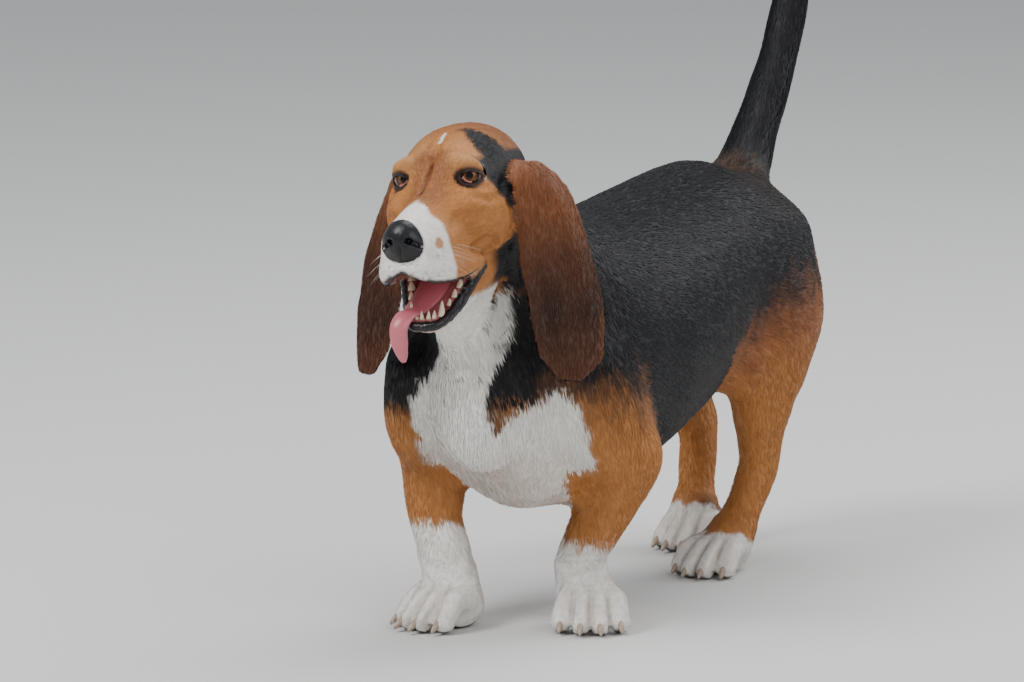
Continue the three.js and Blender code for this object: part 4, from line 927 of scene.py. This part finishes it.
# Nose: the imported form, made finer, with pebbled skin
noseMaterial, nodes, links, shader = newMaterial("nose", (0.007, 0.007, 0.0085), 0.3, 0.38)
bumpFrom(nodes, links, shader, 900, 0.35, 0.0004, "ShaderNodeTexVoronoi")
nose = copyOf(["nose"], "nose_leather")
apply(nose, "REMESH", mode="VOXEL", voxel_size=0.7 * mm, adaptivity=0)
nosePoints = smoothed(nose, arrayOf(nose.data, "vertices", "co"), 5, 0.5)
setCoords(nose, nosePoints)
noseFolds = [([(0, -103, -43), (0, -100.5, -50), (0, -96, -55.5)], 1.1, 1.4)]  # the cleft, then the nostrils
for side in (1, -1):
    slit = [(side * 9, -101, -40), (side * 13.5, -97, -42.5), (side * 16.6, -90, -44.5)]
    noseFolds.append((slit, 1.6, 2.4))
nosePush = -creases(headOf(nosePoints), noseFolds, 0)
setCoords(nose, nosePoints + normalsOf(nose) * (nosePush * mm)[:, None])
nose.data.materials.clear()
nose.data.materials.append(noseMaterial)
nose.data.polygons.foreach_set("use_smooth", [True] * len(nose.data.polygons))

# Tongue
tongueMaterial, nodes, links, shader = newMaterial("tongue", (0.50, 0.13, 0.16), 0.3)
shader.inputs["Subsurface Weight"].default_value = 0.15
shader.inputs["Subsurface Radius"].default_value = (0.004, 0.001, 0.001)
bumpFrom(nodes, links, shader, 1400, 0.4, 0.0003)
tonguePath = [  # x, y, z, half width and half thickness in the head's mm, from root to tip
    (-1, -12, -79, 15, 3.2), (-4, -32, -93, 14, 3.4), (-12, -52, -106, 11, 3.4),
    (-17, -64, -109, 9.2, 3.2), (-20.5, -73, -118, 8.2, 3), (-21, -74, -132, 7.6, 2.6),
    (-20.5, -72, -143, 5, 2), (-20, -71, -149, 1.8, 1),
]
stations = [(headToWorld(s[:3]), headWay((1, 0.15, 0)), s[3] * mm, s[4] * mm) for s in tonguePath]
tongue = meshOf("tongue_body", [sweep(smoothPath(stations, 6), 28, -0.14)], tongueMaterial)

# Teeth and claws
ivory = newMaterial("ivory", (0.72, 0.62, 0.45), 0.25)[0]
toothRows = [  # x, y, z, radius and height in the head's mm, from the middle of the jaw back
    (3, -60, -112, 1.9, 7), (8, -59, -112, 2.0, 7), (13.5, -55, -110, 3.2, 14), (17.5, -45, -104, 2.4, 6),
    (20, -37, -98, 3.0, 7), (22.5, -28, -91, 3.5, 8), (25, -19, -84, 3.7, 8),
]


def toothShape(side, x, y, z, radius, height):
    stations = []
    for k in range(7):
        u = k / 6
        r = radius * (1 - u ** 1.6) + 0.25
        back = 0.35 * height * (u - 0.35) - 0.10 * height * u * u
        p = (x + 0.06 * height * u, y + back, z + height * (u * 1.12 - 0.35))
        stations.append((headToWorld(p, side), headWay((1, 0, 0)), r * mm, r * 1.15 * mm))
    return sweep(stations, 10)


teeth = meshOf("teeth", [toothShape(side, *facts) for side in (1, -1) for facts in toothRows], ivory)

horn = newMaterial("horn", (0.34, 0.26, 0.20), 0.32)[0]
clawRows = [  # ahead and up in toe heights, and the radius in mm, from root to tip
    (0.1, 0.98, 3.6), (0.6, 0.92, 3.5), (1.05, 0.7, 2.9), (1.35, 0.46, 2.0), (1.55, 0.27, 1.0),
]


def clawShape(pawAt, heading, pawWide, pawLong, row):  # row is the toe's place in the row of four
    turn = math.radians(heading)
    side = (math.cos(turn), math.sin(turn), 0)
    toeHigh = pawWide * 0.155
    reach = pawLong * (0.35 if abs(row) > 1 else 0.5)
    stations = []
    for k, (forward, rise, r) in enumerate(clawRows):
        across = row * pawWide / toeSpread * (1 + 0.02 * k)
        ahead = reach + toeHigh * forward
        x = pawAt[0] + across * math.cos(turn) + ahead * math.sin(turn)
        y = pawAt[1] + across * math.sin(turn) - ahead * math.cos(turn)
        stations.append((toWorld((x, y, toeHigh * rise)), side, r * mm, r * 1.1 * mm))
    return sweep(smoothPath(stations, 3), 10)


clawShapes = [clawShape(*facts, row) for facts in pawFacts for row in (-1.5, -0.5, 0.5, 1.5)]
claws = meshOf("claws", clawShapes, horn)

# Whiskers: 13 on each side, in columns of up to three
hair = newMaterial("whisker", (0.55, 0.50, 0.44), 0.4)[0]
whiskerShapes = []
for side in (1, -1):
    for k in range(13):
        column, row = divmod(k, 3)
        start = Vector((21 + 2.0 * column, -84 + 9 * column, -52 - 6 * row))
        way = Vector((0.9, 0.25 + 0.1 * column, -0.25 - 0.12 * row)).normalized()
        size = 18 + 9 * rng.random()
        stations = []
        for j in range(7):
            u = j / 6
            p = start + way * size * u + Vector((0, 3 * u * u, -5 * u * u))
            r = (0.16 * (1 - u) + 0.03) * mm
            stations.append((headToWorld(p, side), headWay((0, 0, 1)), r, r))
        whiskerShapes.append(sweep(stations, 5))
whiskers = meshOf("whiskers", whiskerShapes, hair)
print("details made", flush=True)

for piece in [skin] + coatPieces + eyes + [lids, haw, nose, tongue, teeth, claws, whiskers]:
    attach(piece, "root")
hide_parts(*fleshNodes)
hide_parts("left_eye")
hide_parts("right_eye")
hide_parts("nose")
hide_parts("tongue")

# Floor, lights and camera
bpy.ops.mesh.primitive_plane_add(size=60, location=(0, 0, -0.0005))
floor = bpy.context.object
floor.name = "floor"
floor.data.materials.append(newMaterial("floor", (0.62, 0.62, 0.61), 0.85)[0])

world = bpy.data.worlds.new("world")
bpy.context.scene.world = world
world.use_nodes = True
sky = world.node_tree.nodes["Background"]
sky.inputs["Color"].default_value = (0.86, 0.89, 0.93, 1)
sky.inputs["Strength"].default_value = 0.55
lampRows = (  # name, place, size and power, in metres and watts
    ("key", (-1.4, -2.6, 3.0), 1.6, 125), ("fill", (2.8, -1.8, 1.6), 2.2, 40),
    ("top", (0.2, 0.6, 3.0), 2.0, 55), ("rim", (1.6, 2.4, 1.8), 1.5, 40),
)
for title, place, size, power in lampRows:
    lamp = bpy.data.lights.new(title, "AREA")
    lamp.size = size
    lamp.energy = power
    holder = bpy.data.objects.new(title, lamp)
    bpy.context.collection.objects.link(holder)
    holder.location = place
    holder.rotation_euler = (Vector((0, 0, 0.25)) - Vector(place)).to_track_quat("-Z", "Y").to_euler()

sensor = 36
photoFocal, photoWide = 8800, 1024  # fitted to the photo, in its pixels
lens = photoFocal * sensor / photoWide
shot = dict(azimuth=27, elevation=9, distance=8.0, lens=lens, target=(-101.8, -12.6, 221))
turn, rise = math.radians(shot["azimuth"]), math.radians(shot["elevation"])
back = Vector((math.sin(turn) * math.cos(rise), -math.cos(turn) * math.cos(rise), math.sin(rise)))
cameraData = bpy.data.cameras.new("camera")
cameraData.lens = shot["lens"]
cameraData.sensor_width = sensor
cameraData.clip_end = 100
camera = bpy.data.objects.new("camera", cameraData)
bpy.context.collection.objects.link(camera)
camera.location = toWorld(shot["target"]) + back * shot["distance"]
camera.rotation_euler = (-back).to_track_quat("-Z", "Y").to_euler()
bpy.context.scene.camera = camera
